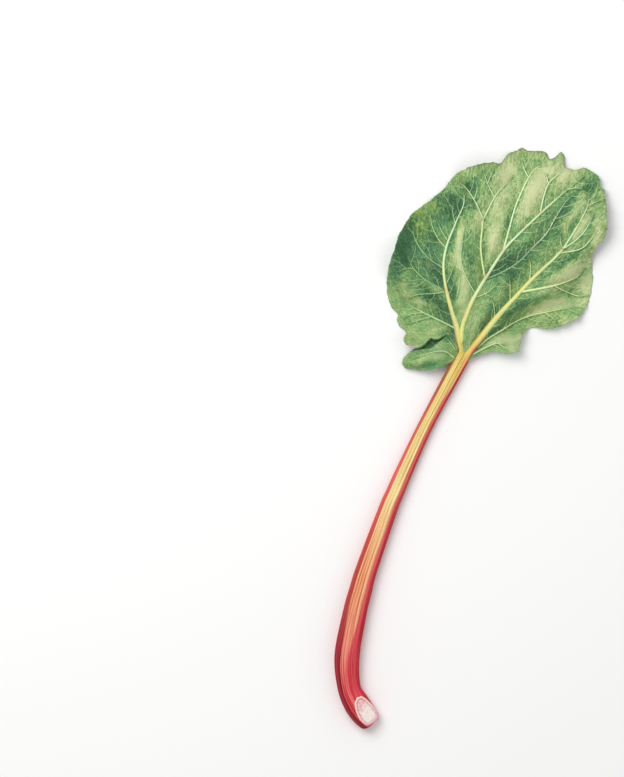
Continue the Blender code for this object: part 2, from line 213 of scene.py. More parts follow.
# Areas of painted light and painted shade on the blade: middle, reach along and across in millimetres,
# slant in degrees and strength (light above nought, shade below).
PAINTED_SHADING_AREAS = [
    (-0.008, 0.132, 36, 6, 95, 0.6), (0.048, 0.193, 22, 7, 50, 0.5), (0.018, 0.160, 24, 6, 66, 0.6),
    (0.008, 0.177, 10, 6, 60, 0.5), (0.080, 0.133, 16, 7, 22, 0.6), (0.086, 0.168, 14, 6, 55, 0.6),
    (0.070, 0.104, 20, 6, 15, 0.8), (0.035, 0.076, 16, 6, 12, 1.0), (-0.030, 0.084, 12, 4, 20, 0.3),
    (-0.027, 0.069, 14, 5, 12, 0.8), (0.030, 0.210, 14, 9, 60, 0.6), (0.056, 0.211, 14, 8, 45, 0.8),
    (0.075, 0.212, 9, 8, 70, 0.8), (-0.040, 0.108, 12, 4, 152, 0.3), (0.021, 0.190, 12, 6, 60, 0.5),
    (-0.009, 0.154, 12, 4, 80, 0.5), (0.094, 0.124, 12, 7, 70, 0.6), (0.101, 0.162, 12, 5, 85, 0.6),
    (0.010, 0.118, 16, 4, 62, 0.3), (0.084, 0.183, 14, 5, 60, 0.5), (-0.011, 0.112, 9, 4, 100, 0.3),
    (0.056, 0.103, 10, 4, 25, 0.6), (0.082, 0.093, 9, 4, 20, 0.5), (-0.033, 0.121, 16, 4, 145, 0.3),
    (-0.038, 0.148, 14, 4, 130, 0.3), (0.060, 0.164, 10, 4, 48, 0.3), (0.060, 0.119, 16, 4, 22, 0.5),
    (0.045, 0.180, 12, 3, 46, 0.2), (-0.048, 0.114, 10, 6, 150, 0.4), (0.023, 0.076, 9, 4, 30, 0.3),
    (-0.010, 0.183, 13, 8, 120, -0.9), (-0.056, 0.143, 18, 12, 80, -0.8), (-0.023, 0.191, 12, 8, 140, -0.6),
    (-0.050, 0.164, 12, 8, 60, -0.7), (-0.031, 0.155, 14, 7, 110, -0.6), (-0.028, 0.108, 14, 6, 150, -0.8),
    (-0.028, 0.132, 16, 6, 125, -0.7), (-0.003, 0.199, 12, 6, 30, -0.7), (0.041, 0.145, 28, 7, 40, -0.9),
    (0.070, 0.179, 22, 6, 54, -0.8), (0.036, 0.103, 15, 4, 38, -0.8), (0.060, 0.113, 12, 4, 15, -0.2),
    (0.012, 0.093, 14, 3.5, 66, -0.6), (0.016, 0.130, 12, 4, 50, -0.7), (0.026, 0.138, 14, 6, 45, -0.7),
    (0.033, 0.128, 18, 5, 42, -0.6), (0.064, 0.130, 12, 3, 34, -0.5), (0.030, 0.174, 14, 4, 62, -0.6),
    (-0.016, 0.083, 10, 6, 0, -0.6), (0.019, 0.085, 12, 3.5, 45, -0.5), (-0.017, 0.113, 12, 6, 100, -0.4),
    (0.077, 0.142, 12, 3.5, 30, -0.8), (-0.040, 0.140, 40, 24, 95, -0.4), (-0.002, 0.142, 16, 4, 95, -0.6),
    (-0.015, 0.124, 16, 3, 105, -0.6), (0.002, 0.188, 9, 5, 110, -0.5), (0.021, 0.102, 14, 3.5, 52, -0.6),
    (0.096, 0.201, 9, 6, 60, -0.6), (-0.020, 0.176, 20, 8, 10, -0.5), (0.009, 0.148, 9, 3, 85, -0.5),
    (0.056, 0.171, 10, 4, 50, -0.4), (-0.035, 0.116, 9, 4, 150, -0.6), (-0.035, 0.057, 14, 3, 0, -0.5),
    (-0.015, 0.157, 12, 2.5, 80, -0.5), (0.009, 0.139, 9, 3, 85, -0.4), (0.082, 0.169, 9, 3, 55, -0.5),
    (-0.019, 0.096, 12, 6, 150, -0.5),
]
# Warm areas, which lean to yellow, and cool ones, which lean to blue, in the same terms.
WARM = [
    (-0.040, 0.172, 22, 14, 45, 1.3), (0.030, 0.098, 14, 5, 30, 0.9), (-0.037, 0.068, 22, 9, 5, -1.0),
    (0.089, 0.183, 12, 9, 60, -0.6), (0.047, 0.219, 30, 8, -10, -0.4),
]
NET_ROW = 0.866             # spacing of an even net's rows, in steps
JOIN = 1e-8                 # points nearer than this become one in a triangulation
FLOOR_GAP = 0.00005         # how far above the floor the lowest points stay
CUT_DEPTH = 0.0008          # how deep the flesh of the cut is set into the stalk
RIB_ROOT_HEIGHT = 0.0042    # height of the ribs' roots, inside the stalk
VEIL = 0.40                 # how much of an area's tone carries over a rib or side vein


def colour(code):
    """The scene-linear colour of a six-digit colour code."""
    parts = [int(code[i:i + 2], 16) / 255 for i in (0, 2, 4)]
    return tuple(c / 12.92 if c <= 0.04045 else ((c + 0.055) / 1.055) ** 2.4 for c in parts)


def length_prop(name, text, default):
    return FloatProperty(name=name, description=text, default=default, min=0.0, unit="LENGTH", precision=4)


def colour_prop(name, text, code):
    return FloatVectorProperty(
        name=name, description=text, default=colour(code), subtype="COLOR", size=3, min=0.0, max=1.0)


class StalkSettings(bpy.types.PropertyGroup):
    """Shape and colours of the stalk."""
    ribs: IntProperty(name="Ribs", description="Ribs round the stalk", default=15, min=3)
    rib_depth: length_prop("Rib depth", "Height of the ribs", 0.00036)
    groove_depth: length_prop("Groove depth", "Depth of the groove beside the left rib", 0.0011)
    step: length_prop("Step", "Spacing of the sections", 0.00075)
    around: IntProperty(name="Around", description="Points round a section", default=180, min=24)
    # Maroon is the skin's red with painted shade in the groove.
    maroon: colour_prop("Maroon", "Groove and darkest edges", "741620")
    wine: colour_prop("Wine", "Strip left of the groove", "A02E3C")
    crimson: colour_prop("Crimson", "Flanks near the foot", "C02C3E")
    rouge: colour_prop("Rouge", "Right flank", "DC4A58")
    rose: colour_prop("Rose", "Softer red beside the pale stripes", "E26662")
    # Pink is a painted highlight near the foot.
    pink: colour_prop("Pink", "Pale stripe near the foot", "F09080")
    brick: colour_prop("Brick", "Left flank half way up", "B84640")
    umber: colour_prop("Umber", "Left flank under the blade", "8E5640")
    amber: colour_prop("Amber", "Right of the middle under the blade", "EEBC6C")
    citron: colour_prop("Citron", "Middle under the blade", "DACB64")
    blossom: colour_prop("Blossom", "Skin at the lower right of the cut", "EDBCC2")
    orange: colour_prop("Orange", "Middle band half way up", "EEA474")
    peach: colour_prop("Peach", "Lighter middle band", "F8C494")
    cream: colour_prop("Cream", "Palest stripes of the band", "FAE6A6")
    gold: colour_prop("Gold", "Band near the blade", "EAD27E")


class CutSettings(bpy.types.PropertyGroup):
    """Shape and colours of the cut foot."""
    dome: length_prop("Dome", "How far the flesh stands out of the cut", 0.0005)
    rim: length_prop("Rim", "Width of the pale rim", 0.0017)
    flesh: colour_prop("Flesh", "Middle of the cut", "FDEEE6")
    # The pink, lilac and red line of the cut are laid on by the painted shade across it.
    blush_and_shade: colour_prop("Blush", "Pink shade", "F0A0A6")
    lilac: colour_prop("Lilac", "Cool pink edge at the lower right", "EEB8C4")
    ring: colour_prop("Ring", "Red line inside the rim", "BC4456")
    rind: colour_prop("Rind", "Outer rim of the cut", "FDD8CA")


class BladeSettings(bpy.types.PropertyGroup):
    """Shape and colours of the blade."""
    step: length_prop("Step", "Spacing of the blade's net", 0.00085)
    thickness: length_prop("Thickness", "Thickness of the blade between its veins", 0.0005)
    arch: length_prop("Arch", "How much the middle stands above the margin", 0.0100)
    arch_spread: length_prop("Arch spread", "How far in from the margin it rises", 0.030)
    pillow: length_prop("Pillow", "Swelling between the main ribs", 0.0034)
    ruffle: length_prop("Ruffle", "Waves of the margin", 0.0115)
    droop: length_prop("Droop", "How much lower the margin hangs", 0.0090)
    quilt: length_prop("Quilt", "Swelling between side veins", 0.0016)
    swelling: length_prop("Swelling", "Rise of the light areas and fall of the dark ones", 0.0011)
    pucker: length_prop("Pucker", "Swelling between the finest veins", 0.00032)
    crinkle: length_prop("Crinkle", "Fine creases that fan out from the stalk", 0.00030)
    crease: length_prop("Crease", "Depth of the crease above the left ear", 0.0060)
    vein_size: FloatProperty(name="Vein size", description="Thickness of the side veins", default=1.05,
                             min=0.1)
    # Contrast sets the strength of the painted light and shade areas.
    contrast: FloatProperty(name="Contrast", description="Strength of the light and dark areas",
                            default=1.75, min=0.0)
    seed: IntProperty(name="Seed", description="Layout of the finest veins", default=7)
    # Painted light and shade: the deep and dark greens stand for shade in hollows and beside the ribs, the
    # light and pale greens for light on the crests.
    deep: colour_prop("Deep green", "Deepest hollows", "2C5938")
    dark: colour_prop("Dark green", "Hollows and valleys beside the ribs", "4F7F52")
    green: colour_prop("Green", "Blade", "789F5D")
    light: colour_prop("Light green", "Crests", "A8BE7E")
    pale: colour_prop("Pale green", "Highest crests", "CFD6A2")
    blue: colour_prop("Blue green", "Cool tinge", "5A9676")
    olive: colour_prop("Olive", "Warm tinge", "96A658")
    warm: colour_prop("Warm shade", "Laid over the areas that lean to yellow", "FFF7D6")
    cool: colour_prop("Cool shade", "Laid over the areas that lean to blue", "E6FAFF")
    # The darkest green inside the crease is painted shade.
    crease_shade: colour_prop("Slate", "Inside the crease", "385548")
    lip: colour_prop("Lip", "Pale rim over the crease", "E8D8CC")
    under: colour_prop("Underside", "Lower side", "A9BF93")
    brown: colour_prop("Margin brown", "Tinge of the far margin", "7A5560")
    vein: colour_prop("Vein", "Side veins", "BCDA98")
    vein_dim: colour_prop("Dim vein", "Side veins that lie in shade", "8DB58E")
    vein_light: colour_prop("Light vein", "Side veins of the right half", "E4F7C4")
    vein_gold: colour_prop("Golden vein", "Side veins near the right ear", "E4EEA0")
    rib: colour_prop("Rib", "Main ribs", "E4E68E")
    rib_tip: colour_prop("Rib tip", "Main ribs near the margin", "DAF0BC")
    # Painted shade on the ribs' left flanks near the fork, and a faint random tinge elsewhere.
    blush_and_shade: colour_prop("Rib blush", "Left flanks of the ribs near the fork", "D2A78E")
    ember: colour_prop("Rib ember", "Right rib near the stalk, and the forks", "D07A42")
    glow: colour_prop("Rib glow", "Right rib's middle near the stalk", "E0B850")


class StageSettings(bpy.types.PropertyGroup):
    """Floor, light and camera."""
    floor: colour_prop("Floor", "Plain floor", "FBFBFA")
    frame_height: length_prop("Frame height", "Height of what the camera sees", 0.6216)
    offset: FloatVectorProperty(
        name="Offset", description="Middle of the view from the part's origin", default=(-0.1268, 0.0396),
        size=2, unit="LENGTH")
    lens: FloatProperty(name="Lens", description="Focal length in millimetres", default=200.0)


def settings():
    """The sizes and colours in use."""
    return bpy.context.scene.rhubarb


# ---------------------------------------------------------------- lines and fields

def smooth_line(points, step):
    """Points about one step apart on a Catmull-Rom curve through the given ones."""
    given = [np.array(p, float) for p in points]
    count = len(given)
    line = []
    for i in range(count - 1):
        b, c = given[i], given[i + 1]
        a = given[i - 1] if i > 0 else 2 * b - c
        d = given[i + 2] if i + 2 < count else 2 * c - b
        parts = max(1, round(np.linalg.norm((c - b)[:2]) / step))
        for k in range(parts):
            t = k / parts
            line.append(0.5 * (2 * b + (c - a) * t + (2 * a - 5 * b + 4 * c - d) * t * t
                               + (3 * b - a - 3 * c + d) * t ** 3))
    line.append(given[-1])
    return np.array(line)


def directions(line):
    """Unit direction along a line of points at each of them."""
    run = np.gradient(line[:, :2], axis=0)
    return run / np.linalg.norm(run, axis=1)[:, None]


class Net:
    """A set of lines that can be asked which of them is nearest to a point."""

    def __init__(self, lines):
        self.points = np.vstack([line[:, :2] for line in lines])
        self.owner = np.concatenate([np.full(len(line), i) for i, line in enumerate(lines)])
        self.along = np.concatenate([np.linspace(0.0, 1.0, len(line)) for line in lines])
        self.tree = kdtree.KDTree(len(self.points))
        for i, (x, y) in enumerate(self.points):
            self.tree.insert((x, y, 0.0), i)
        self.tree.balance()

    def nearest(self, points):
        """For each point: distance to the nearest line, which line, and how far along it."""
        found = np.array([self.tree.find((x, y, 0.0))[1] for x, y in points])
        gap = np.linalg.norm(points - self.points[found], axis=1)
        for side in (-1, 1):
            other = np.clip(found + side, 0, len(self.points) - 1)
            other = np.where(self.owner[other] == self.owner[found], other, found)
            start = self.points[found]
            run = self.points[other] - start
            size = np.maximum((run ** 2).sum(axis=1), 1e-14)
            t = np.clip(((points - start) * run).sum(axis=1) / size, 0.0, 1.0)
            gap = np.minimum(gap, np.linalg.norm(points - start - t[:, None] * run, axis=1))
        return gap, self.owner[found], self.along[found]


def inside(points, outline):
    """True for the points within a closed outline."""
    ax, ay = outline[:, 0][None], outline[:, 1][None]
    bx, by = np.roll(outline[:, 0], -1)[None], np.roll(outline[:, 1], -1)[None]
    rise = np.where(by == ay, 1.0, by - ay)
    result = []
    for part in np.array_split(points, max(1, len(points) // 4000)):
        x, y = part[:, 0][:, None], part[:, 1][:, None]
        spans = (ay > y) != (by > y)
        crossing = ax + (y - ay) * (bx - ax) / rise
        result.append(((spans & (x < crossing)).sum(axis=1) % 2).astype(bool))
    return np.concatenate(result)


def waves(points, size, seed):
    """Smooth noise between -1 and 1 at flat points, with features of the given size."""
    shift = 37.0 * seed
    return np.array([noise.noise((x / size + shift, y / size - shift, 0.3 * seed)) for x, y in points])


def thin_out(points, spacing, taken=()):
    """Keeps the points that stand at least one spacing from those taken or kept before them."""
    cells = {}
    kept = []

    def cell(p):
        return int(p[0] // spacing), int(p[1] // spacing)

    def near(p):
        i, j = cell(p)
        for a in (i - 1, i, i + 1):
            for b in (j - 1, j, j + 1):
                for q in cells.get((a, b), ()):
                    if (p[0] - q[0]) ** 2 + (p[1] - q[1]) ** 2 < spacing ** 2:
                        return True
        return False

    for p in taken:
        cells.setdefault(cell(p), []).append(p)
    for p in points:
        if not near(p):
            kept.append(p)
            cells.setdefault(cell(p), []).append(p)
    return np.array(kept)


# ---------------------------------------------------------------- meshes and pieces

def add_piece(name, verts, faces, masks, vectors):
    """Makes a smooth mesh object, with named values for its material to read."""
    data = bpy.data.meshes.new(name)
    data.from_pydata([tuple(v) for v in verts], [], [tuple(f) for f in faces])
    for key, values in masks.items():
        layer = data.attributes.new(key, "FLOAT", "POINT")
        layer.data.foreach_set("value", np.asarray(values, dtype=np.float32))
    for key, values in vectors.items():
        layer = data.attributes.new(key, "FLOAT_VECTOR", "POINT")
        layer.data.foreach_set("vector", np.asarray(values, dtype=np.float32).ravel())
    data.validate()
    data.shade_smooth()
    made = bpy.data.objects.new(name, data)
    bpy.context.scene.collection.objects.link(made)
    return made


def place(piece, finish, node):
    """Gives a piece its material and its place in the frame."""
    piece.data.materials.append(finish)
    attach(piece, BODY)
    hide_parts(node)


def length_at(line):
    """Distance along a line at each of its points."""
    return np.concatenate([[0.0], np.cumsum(np.linalg.norm(np.diff(line[:, :2], axis=0), axis=1))])


def smoothstep(value, low, high):
    """0 at low, 1 at high, and smooth between them."""
    t = np.clip((value - low) / (high - low), 0.0, 1.0)
    return t * t * (3 - 2 * t)


def tube_faces(rings, count):
    """Faces of a tube of rings, with a flat cap at either end."""
    faces = []
    for j in range(rings - 1):
        for i in range(count):
            k = (i + 1) % count
            faces.append((j * count + i, j * count + k, (j + 1) * count + k, (j + 1) * count + i))
    faces.append(tuple(reversed(range(count))))
    faces.append(tuple(range((rings - 1) * count, rings * count)))
    return faces


def border_edges(triangles):
    """The edges that only one triangle has, as they run in it."""
    seen = {}
    for a, b, c in triangles:
        for edge in ((a, b), (b, c), (c, a)):
            seen[edge] = True
    return [edge for edge in seen if (edge[1], edge[0]) not in seen]


def sheet_faces(triangles, size):
    """Faces of a thin closed sheet: the triangles, the same ones turned over, and a wall round them."""
    faces = [tuple(f) for f in triangles]
    faces += [tuple(size + i for i in reversed(f)) for f in triangles]
    faces += [(b, a, size + a, size + b) for a, b in border_edges(triangles)]
    return faces


def even_net(outline, edge, step):
    """Points in even rows inside an outline, a little clear of its edge."""
    low, high = outline.min(axis=0), outline.max(axis=0)
    rise = step * NET_ROW
    rows = int((high[1] - low[1]) / rise) + 1
    columns = int((high[0] - low[0]) / step) + 2
    net = np.array([(low[0] + (i + 0.5 * (j % 2)) * step, low[1] + j * rise)
                    for j in range(rows) for i in range(columns)])
    net = net[inside(net, outline)]
    return net[edge.nearest(net)[0] > 0.6 * step]


def triangulated(points, border):
    """Triangles over points, of which the first ones are the border: the corners and the triangles."""
    made = delaunay_2d_cdt([Vector(p) for p in points], [], [list(range(border))], 1, JOIN)
    return np.array([tuple(p) for p in made[0]]), made[2]


def build_stalk():
    """The stalk: fine ribbed sections lofted along its route."""
    given = settings().stalk
    line = smooth_line([(*p, w) for p, w in zip(STALK_ROUTE, STALK_WIDTHS)], given.step)
    heading = directions(line)
    run = length_at(line)
    length = run[-1]
    turn = np.linspace(0.0, 2 * math.pi, given.around, endpoint=False)
    cosine, sine = np.cos(turn), np.sin(turn)
    verts, skin = [], []
    masks = {"side": [], "up": [], "along": [], "rib": [], "groove": []}
    for (x, y, width), (hx, hy), s in zip(line, heading, run):
        along = s / length
        thick = width * STALK_FLATNESS
        wobble = 0.25 * noise.noise((s * 30.0, 0.0, 4.0))
        grown = smoothstep(s, 0.012, 0.050)
        rib = np.cos(given.ribs * turn + wobble)
        fine = 0.35 * np.cos(3.0 * given.ribs * turn + 1.1 + 3 * wobble)
        depth = given.rib_depth * grown * (0.55 + 0.45 * width / FULL_RIB_WIDTH)
        groove_at = math.radians(135 - 10 * smoothstep(along, 0.12, 0.22))
        groove = np.exp(-((turn - groove_at) / 0.08) ** 2) * (1 - smoothstep(along, 0.20, 0.36))
        lift = depth * (rib + fine) - given.groove_depth * (0.35 + 0.65 * grown) * groove
        side = (width / 2 + lift) * cosine
        up = np.maximum((thick / 2 + lift) * sine + thick / 2 - BELLY_SINK, 0.0)
        verts.append(np.stack([x + side * hy, y - side * hx, up], axis=1))
        masks["side"].append(cosine)
        masks["up"].append(sine)
        masks["along"].append(np.full(given.around, along))
        masks["rib"].append(0.5 + 0.5 * rib)
        masks["groove"].append(groove)
        skin.append(np.stack([turn * SKIN_RADIUS, np.full(given.around, s), turn * 0], axis=1))
    faces = tube_faces(len(verts), given.around)
    masks = {key: np.concatenate(values) for key, values in masks.items()}
    return add_piece("stalk_skin", np.vstack(verts), faces, masks, {"skin": np.vstack(skin)})


def slice_foot(piece):
    """Slices the stalk's foot off aslant, closes it, and gives the corners of the cut in order."""
    mesh = bmesh.new()
    mesh.from_mesh(piece.data)
    bmesh.ops.recalc_face_normals(mesh, faces=mesh.faces)
    foot = [v for v in mesh.verts if v.co.y < FOOT_TOP]
    foot += [e for e in mesh.edges if all(v.co.y < FOOT_TOP for v in e.verts)]
    foot += [f for f in mesh.faces if all(v.co.y < FOOT_TOP for v in f.verts)]
    cut = bmesh.ops.bisect_plane(
        mesh, geom=foot, dist=1e-7, plane_co=CUT_POINT, plane_no=CUT_NORMAL, clear_outer=True)
    rim = [e for e in cut["geom_cut"] if isinstance(e, bmesh.types.BMEdge)]
    loop = ordered_loop(rim)
    bmesh.ops.edgeloop_fill(mesh, edges=rim)
    bmesh.ops.recalc_face_normals(mesh, faces=mesh.faces)
    mesh.to_mesh(piece.data)
    mesh.free()
    piece.data.shade_smooth()
    piece.data.set_sharp_from_angle(angle=math.radians(50))
    return loop


def ordered_loop(edges):
    """The corners of a closed chain of edges, in order."""
    links = {}
    for edge in edges:
        a, b = edge.verts
        links.setdefault(a, []).append(b)
        links.setdefault(b, []).append(a)
    start = next(iter(links))
    chain, before, here = [start], None, start
    while True:
        following = [v for v in links[here] if v is not before]
        before, here = here, following[0]
        if here is start:
            return [v.co.copy() for v in chain]
        chain.append(here)


def build_cut(loop):
    """The flesh that shows in the slanting cut: a slightly domed, fibrous lens inside the skin's rim."""
    given = settings().cut
    across = CUT_NORMAL.cross(Vector((0, 0, 1))).normalized()
    down = CUT_NORMAL.cross(across).normalized()
    flat = np.array([((p - CUT_POINT).dot(across), (p - CUT_POINT).dot(down)) for p in loop])
    middle = flat.mean(axis=0)
    step = 0.00045
    rim_line = smooth_line(np.vstack([flat, flat[:1]]), step)[:-1]
    shrunk = middle + (rim_line - middle) * 0.985
    shrunk = thin_out(shrunk, 0.6 * step)
    rim = Net([np.vstack([shrunk, shrunk[:1]])])
    flat, triangles = triangulated(np.vstack([shrunk, even_net(shrunk, rim, step)]), len(shrunk))
    edge = rim.nearest(flat)[0]
    lip = smoothstep(edge, 0.0, 0.0012)
    ring = np.exp(-((edge - given.rim - 0.0003) / 0.00045) ** 2)
    grain = waves(flat * np.array([1.0, 0.45]), 0.0011, 3) + 0.6 * waves(flat, 0.0005, 5)
    rise = given.dome * (0.25 + 0.75 * lip) - 0.00030 * ring + 0.00010 * lip * grain
    reach = flat - middle
    shade = -(reach[:, 0] + reach[:, 1]) / np.abs(reach.sum(axis=1)).max()
    narrowed = middle + (flat - middle) * 0.96
    top = [CUT_POINT + across * x + down * y + CUT_NORMAL * h for (x, y), h in zip(flat, rise)]
    below = [CUT_POINT + across * x + down * y - CUT_NORMAL * CUT_DEPTH for x, y in narrowed]
    masks = {"edge": np.concatenate([edge, edge]) / MM, "shade": np.concatenate([shade, shade])}
    spot = np.vstack([np.column_stack([flat, 0 * flat[:, 0]])] * 2)
    piece = add_piece("cut_flesh", top + below, sheet_faces(triangles, len(flat)), masks, {"spot": spot})
    face_outward(piece)
    return piece


def face_outward(piece):
    """Turns all of a closed piece's faces outward."""
    mesh = bmesh.new()
    mesh.from_mesh(piece.data)
    bmesh.ops.recalc_face_normals(mesh, faces=mesh.faces)
    mesh.to_mesh(piece.data)
    mesh.free()


# ---------------------------------------------------------------- the blade

class Blade:
    """Everything about the blade that its pieces share: outline, veins and height."""

    def __init__(self):
        given = settings().blade
        self.given = given
        step = given.step
        self.outline = self.wavy_outline(step)
        self.edge = Net([np.vstack([self.outline, self.outline[:1]])])
        self.ribs = [smooth_line([(*p, r * MM) for p, r in zip(points, radii)], 0.8 * step)
                     for points, radii in MAIN_RIBS.values()]
        self.sides = [self.tapered(points, a, b) for points, a, b in SIDE_VEINS]
        self.walls = [line[::4, :2] for line in self.ribs + self.sides]
        self.rib_net = Net(self.ribs + [self.sides[i] for i in SWELLING_VEINS])
        self.side_net = Net(self.ribs + self.sides)
        self.fine, self.finer = self.grow_fine_veins()
        self.vein_net = Net(self.ribs + self.sides + self.fine + self.finer)
        over, below = smooth_line(CREASE_TOP, 0.0004), smooth_line(CREASE_FOOT, 0.0004)
        self.crease = np.vstack([over, below[::-1]])
        self.over, self.below = Net([over]), Net([below])

    def tapered(self, points, first, last):
        """A side vein's line with its radius as the third value."""
        radii = np.linspace(first, last, len(points)) * self.given.vein_size * MM
        line = smooth_line([(*p, r) for p, r in zip(points, radii)], 0.8 * self.given.step)
        if last < 0.5:
            left = np.linspace(1.0, 0.0, len(line))
            line[:, 2] *= 0.30 + 0.70 * smoothstep(left, 0.0, 0.35)
        return line

    def wavy_outline(self, step):
        """The margin with its small notches and teeth."""
        line = smooth_line(MARGIN, step)
        way = directions(line)
        run = length_at(line)
        ends = np.minimum(run, run[-1] - run)
        size = smoothstep(ends, 0.006, 0.020)
        shift = np.array([0.55 * noise.noise((s / 0.0035, 1.7, 0.0))
                          + 0.40 * noise.noise((s / 0.0016, 5.1, 0.0)) for s in run]) * 0.0011 * size
        return line + shift[:, None] * np.stack([way[:, 1], -way[:, 0]], axis=1)

    def grow_fine_veins(self):
        """Fine veins that leave the ribs and side veins on both sides, and finer ones that leave them."""
        draw = random.Random(self.given.seed)
        taken = self.side_net.points[::2].copy()
        orders = []
        parents = self.ribs + self.sides
        for spacing, reach, radius, ease in ((0.0105, 0.018, 0.20, 1.0), (0.0075, 0.008, 0.11, 0.7)):
            grown = []
            for line in parents:
                run = length_at(line)
                way = directions(line)
                s = spacing * draw.uniform(0.3, 0.8)
                hand = draw.choice((-1, 1))
                while s < run[-1] - 0.3 * spacing:
                    i = int(np.searchsorted(run, s))
                    path = self.grow_one(line[i, :2], way[i], hand, reach * draw.uniform(0.6, 1.2), taken,
                                         draw, ease)
                    if len(path) > 4:
                        radii = np.linspace(radius, 0.4 * radius, len(path)) * MM
                        grown.append(smooth_line([(*p, r) for p, r in zip(path, radii)], self.given.step))
                        taken = np.vstack([taken, np.array(path)[2:]])
                    s += 0.5 * spacing * draw.uniform(0.75, 1.25)
                    hand = -hand
            orders.append(grown)
            parents = grown
        return orders

    def grow_one(self, start, way, hand, reach, taken, draw, ease):
        """One fine vein: it sets off at a slant and bends back towards its parent's direction."""
        stride = 0.0009
        turn = hand * math.radians(draw.uniform(46, 62))
        bend = -hand * math.radians(draw.uniform(1.2, 2.8)) / ease
        angle = math.atan2(way[1], way[0]) + turn
        path = [np.array(start)]
        for k in range(int(reach / stride)):
            angle += bend + draw.uniform(-0.04, 0.04)
            spot = path[-1] + stride * np.array([math.cos(angle), math.sin(angle)])
            if k > 2 and ((taken - spot) ** 2).sum(axis=1).min() < (1.6 * MM * ease) ** 2:
                break
            if self.edge.nearest(spot[None])[0][0] < 0.0012:
                break
            path.append(spot)
        if len(path) > 1 and not inside(np.array([path[-1]]), self.outline)[0]:
            return []
        return path

    def height(self, points):
        """Height of the blade's upper side, and what was measured for it that its colours need too."""
        given = self.given
        out = points - LEAF_BASE
        far = np.linalg.norm(out, axis=1)
        turn = np.arctan2(out[:, 1], out[:, 0])
        edge, _, lap = self.edge.nearest(points)
        rib_gap = self.rib_net.nearest(points)[0]
        side_gap = self.side_net.nearest(points)[0]
        vein_gap = self.vein_net.nearest(points)[0]
        top = STALK_TOP_WIDTH * STALK_FLATNESS - BELLY_SINK
        height = top + given.arch * (1 - np.exp(-edge / given.arch_spread))
        swell = 1 - np.exp(-(rib_gap / 0.011) ** 2)
        height += given.pillow * swell
        spread = np.clip(far / 0.060, 0.0, 1.0) ** 1.5
        wave = 0.62 * np.sin(9 * turn + 0.4) + 0.38 * np.sin(17 * turn + 2.0)
        near_edge = np.exp(-edge / 0.030)
        height += spread * near_edge * (given.ruffle * wave - given.droop)
        frill = np.sin(lap * 2 * math.pi * 46 + 2.5 * np.sin(lap * 40.0))
        height += 0.0009 * frill * np.exp(-edge / 0.005) * smoothstep(far, 0.02, 0.05)
        quilt = 1 - np.exp(-(side_gap / 0.0045) ** 2)
        rooted = smoothstep(far, 0.004, 0.03)
        height += given.quilt * (quilt - 0.5) * rooted
        pucker = 1 - np.exp(-(vein_gap / 0.0015) ** 2)
        height += given.pucker * pucker * rooted
        height += 0.0005 * waves(points, 0.012, 2)
        fan = np.column_stack([turn * 0.085, far * 0.40])
        crinkle = 1 - 2 * np.abs(waves(fan, 0.0034, 6)) + 0.5 * waves(points, 0.0026, 8)
        height += given.crinkle * crinkle * smoothstep(far, 0.006, 0.03)
        height -= 0.0024 * np.exp(-(far / 0.024) ** 2)
        # The areas of painted light and shade also raise and lower the blade a little.
        area = self.areas(points, PAINTED_SHADING_AREAS)
        height += given.swelling * area * smoothstep(far, 0.010, 0.030)
        within = inside(points, self.crease)
        over, below = self.over.nearest(points)[0], self.below.nearest(points)[0]
        depth = np.where(within, smoothstep(np.minimum(over, below), 0.0, 0.0014), 0.0)
        # The lip over the crease stands a little higher and gets a painted highlight.
        lip = np.where(within, 0.0, np.exp(-(over / 0.0011) ** 2))
        height += 0.0012 * lip - given.crease * depth
        rest = given.thickness + 0.0001
        softness = 0.0010
        height = rest + softness * np.logaddexp(0.0, (height - 0.0006 - rest) / softness)
        # Where the painted shade inside the crease goes.
        shaded_fold = np.where(within, smoothstep(np.minimum(over, below), -0.0004, 0.0003), 0.0)
        masks = {"edge": edge / MM, "side_gap": side_gap / MM, "vein_gap": vein_gap / MM,
                 "painted_shading": given.contrast * area, "quilt": quilt, "shaded_fold": shaded_fold, "lip": lip}
        return height, masks, np.column_stack([turn, far, 0 * far])

    def tinges(self, points):
        """Where the blade is warm or cool, shaded or lit beside a vein, and tinged at its margin."""
        edge = self.edge.nearest(points)[0]
        away = np.array([0.7, -0.7]) * 0.0011
        cast = np.exp(-(self.side_net.nearest(points - away)[0] / 0.0007) ** 2)
        lit = np.exp(-(self.side_net.nearest(points + away)[0] / 0.0007) ** 2)
        ear_tip = (points - EAR_TIP) / EAR_TIP_REACH
        pink_lip = np.exp(-(edge / 0.0016) ** 2 - (ear_tip ** 2).sum(axis=1))
        top_margin = np.exp(-edge / 0.0008) * smoothstep(points[:, 1], *TOP_MARGIN)
        return {"warmth": self.areas(points, WARM), "cast": cast, "lit": lit, "brown": top_margin,
                "pink_lip": pink_lip}

    def areas(self, points, ovals):
        """The strength of ovals at each place: they have uneven borders and mostly stop at the veins."""
        shift = np.column_stack([waves(points, 0.009, 11), waves(points, 0.009, 12)]) * 0.0030
        shift += np.column_stack([waves(points, 0.003, 13), waves(points, 0.003, 14)]) * 0.0011
        spots = points + shift
        total = np.zeros(len(points))
        for x, y, long, short, slant, strength in ovals:
            lean = math.radians(slant)
            dx, dy = spots[:, 0] - x, spots[:, 1] - y
            u = (dx * math.cos(lean) + dy * math.sin(lean)) / (long * MM)
            v = (dy * math.cos(lean) - dx * math.sin(lean)) / (short * MM)
            reach = u * u + v * v
            near = np.flatnonzero(reach < 4.0)
            if len(near):
                walls = self.walls_between(np.array([x, y]), points[near])
                total[near] += strength * np.exp(-reach[near]) * VEIL ** walls
        return total

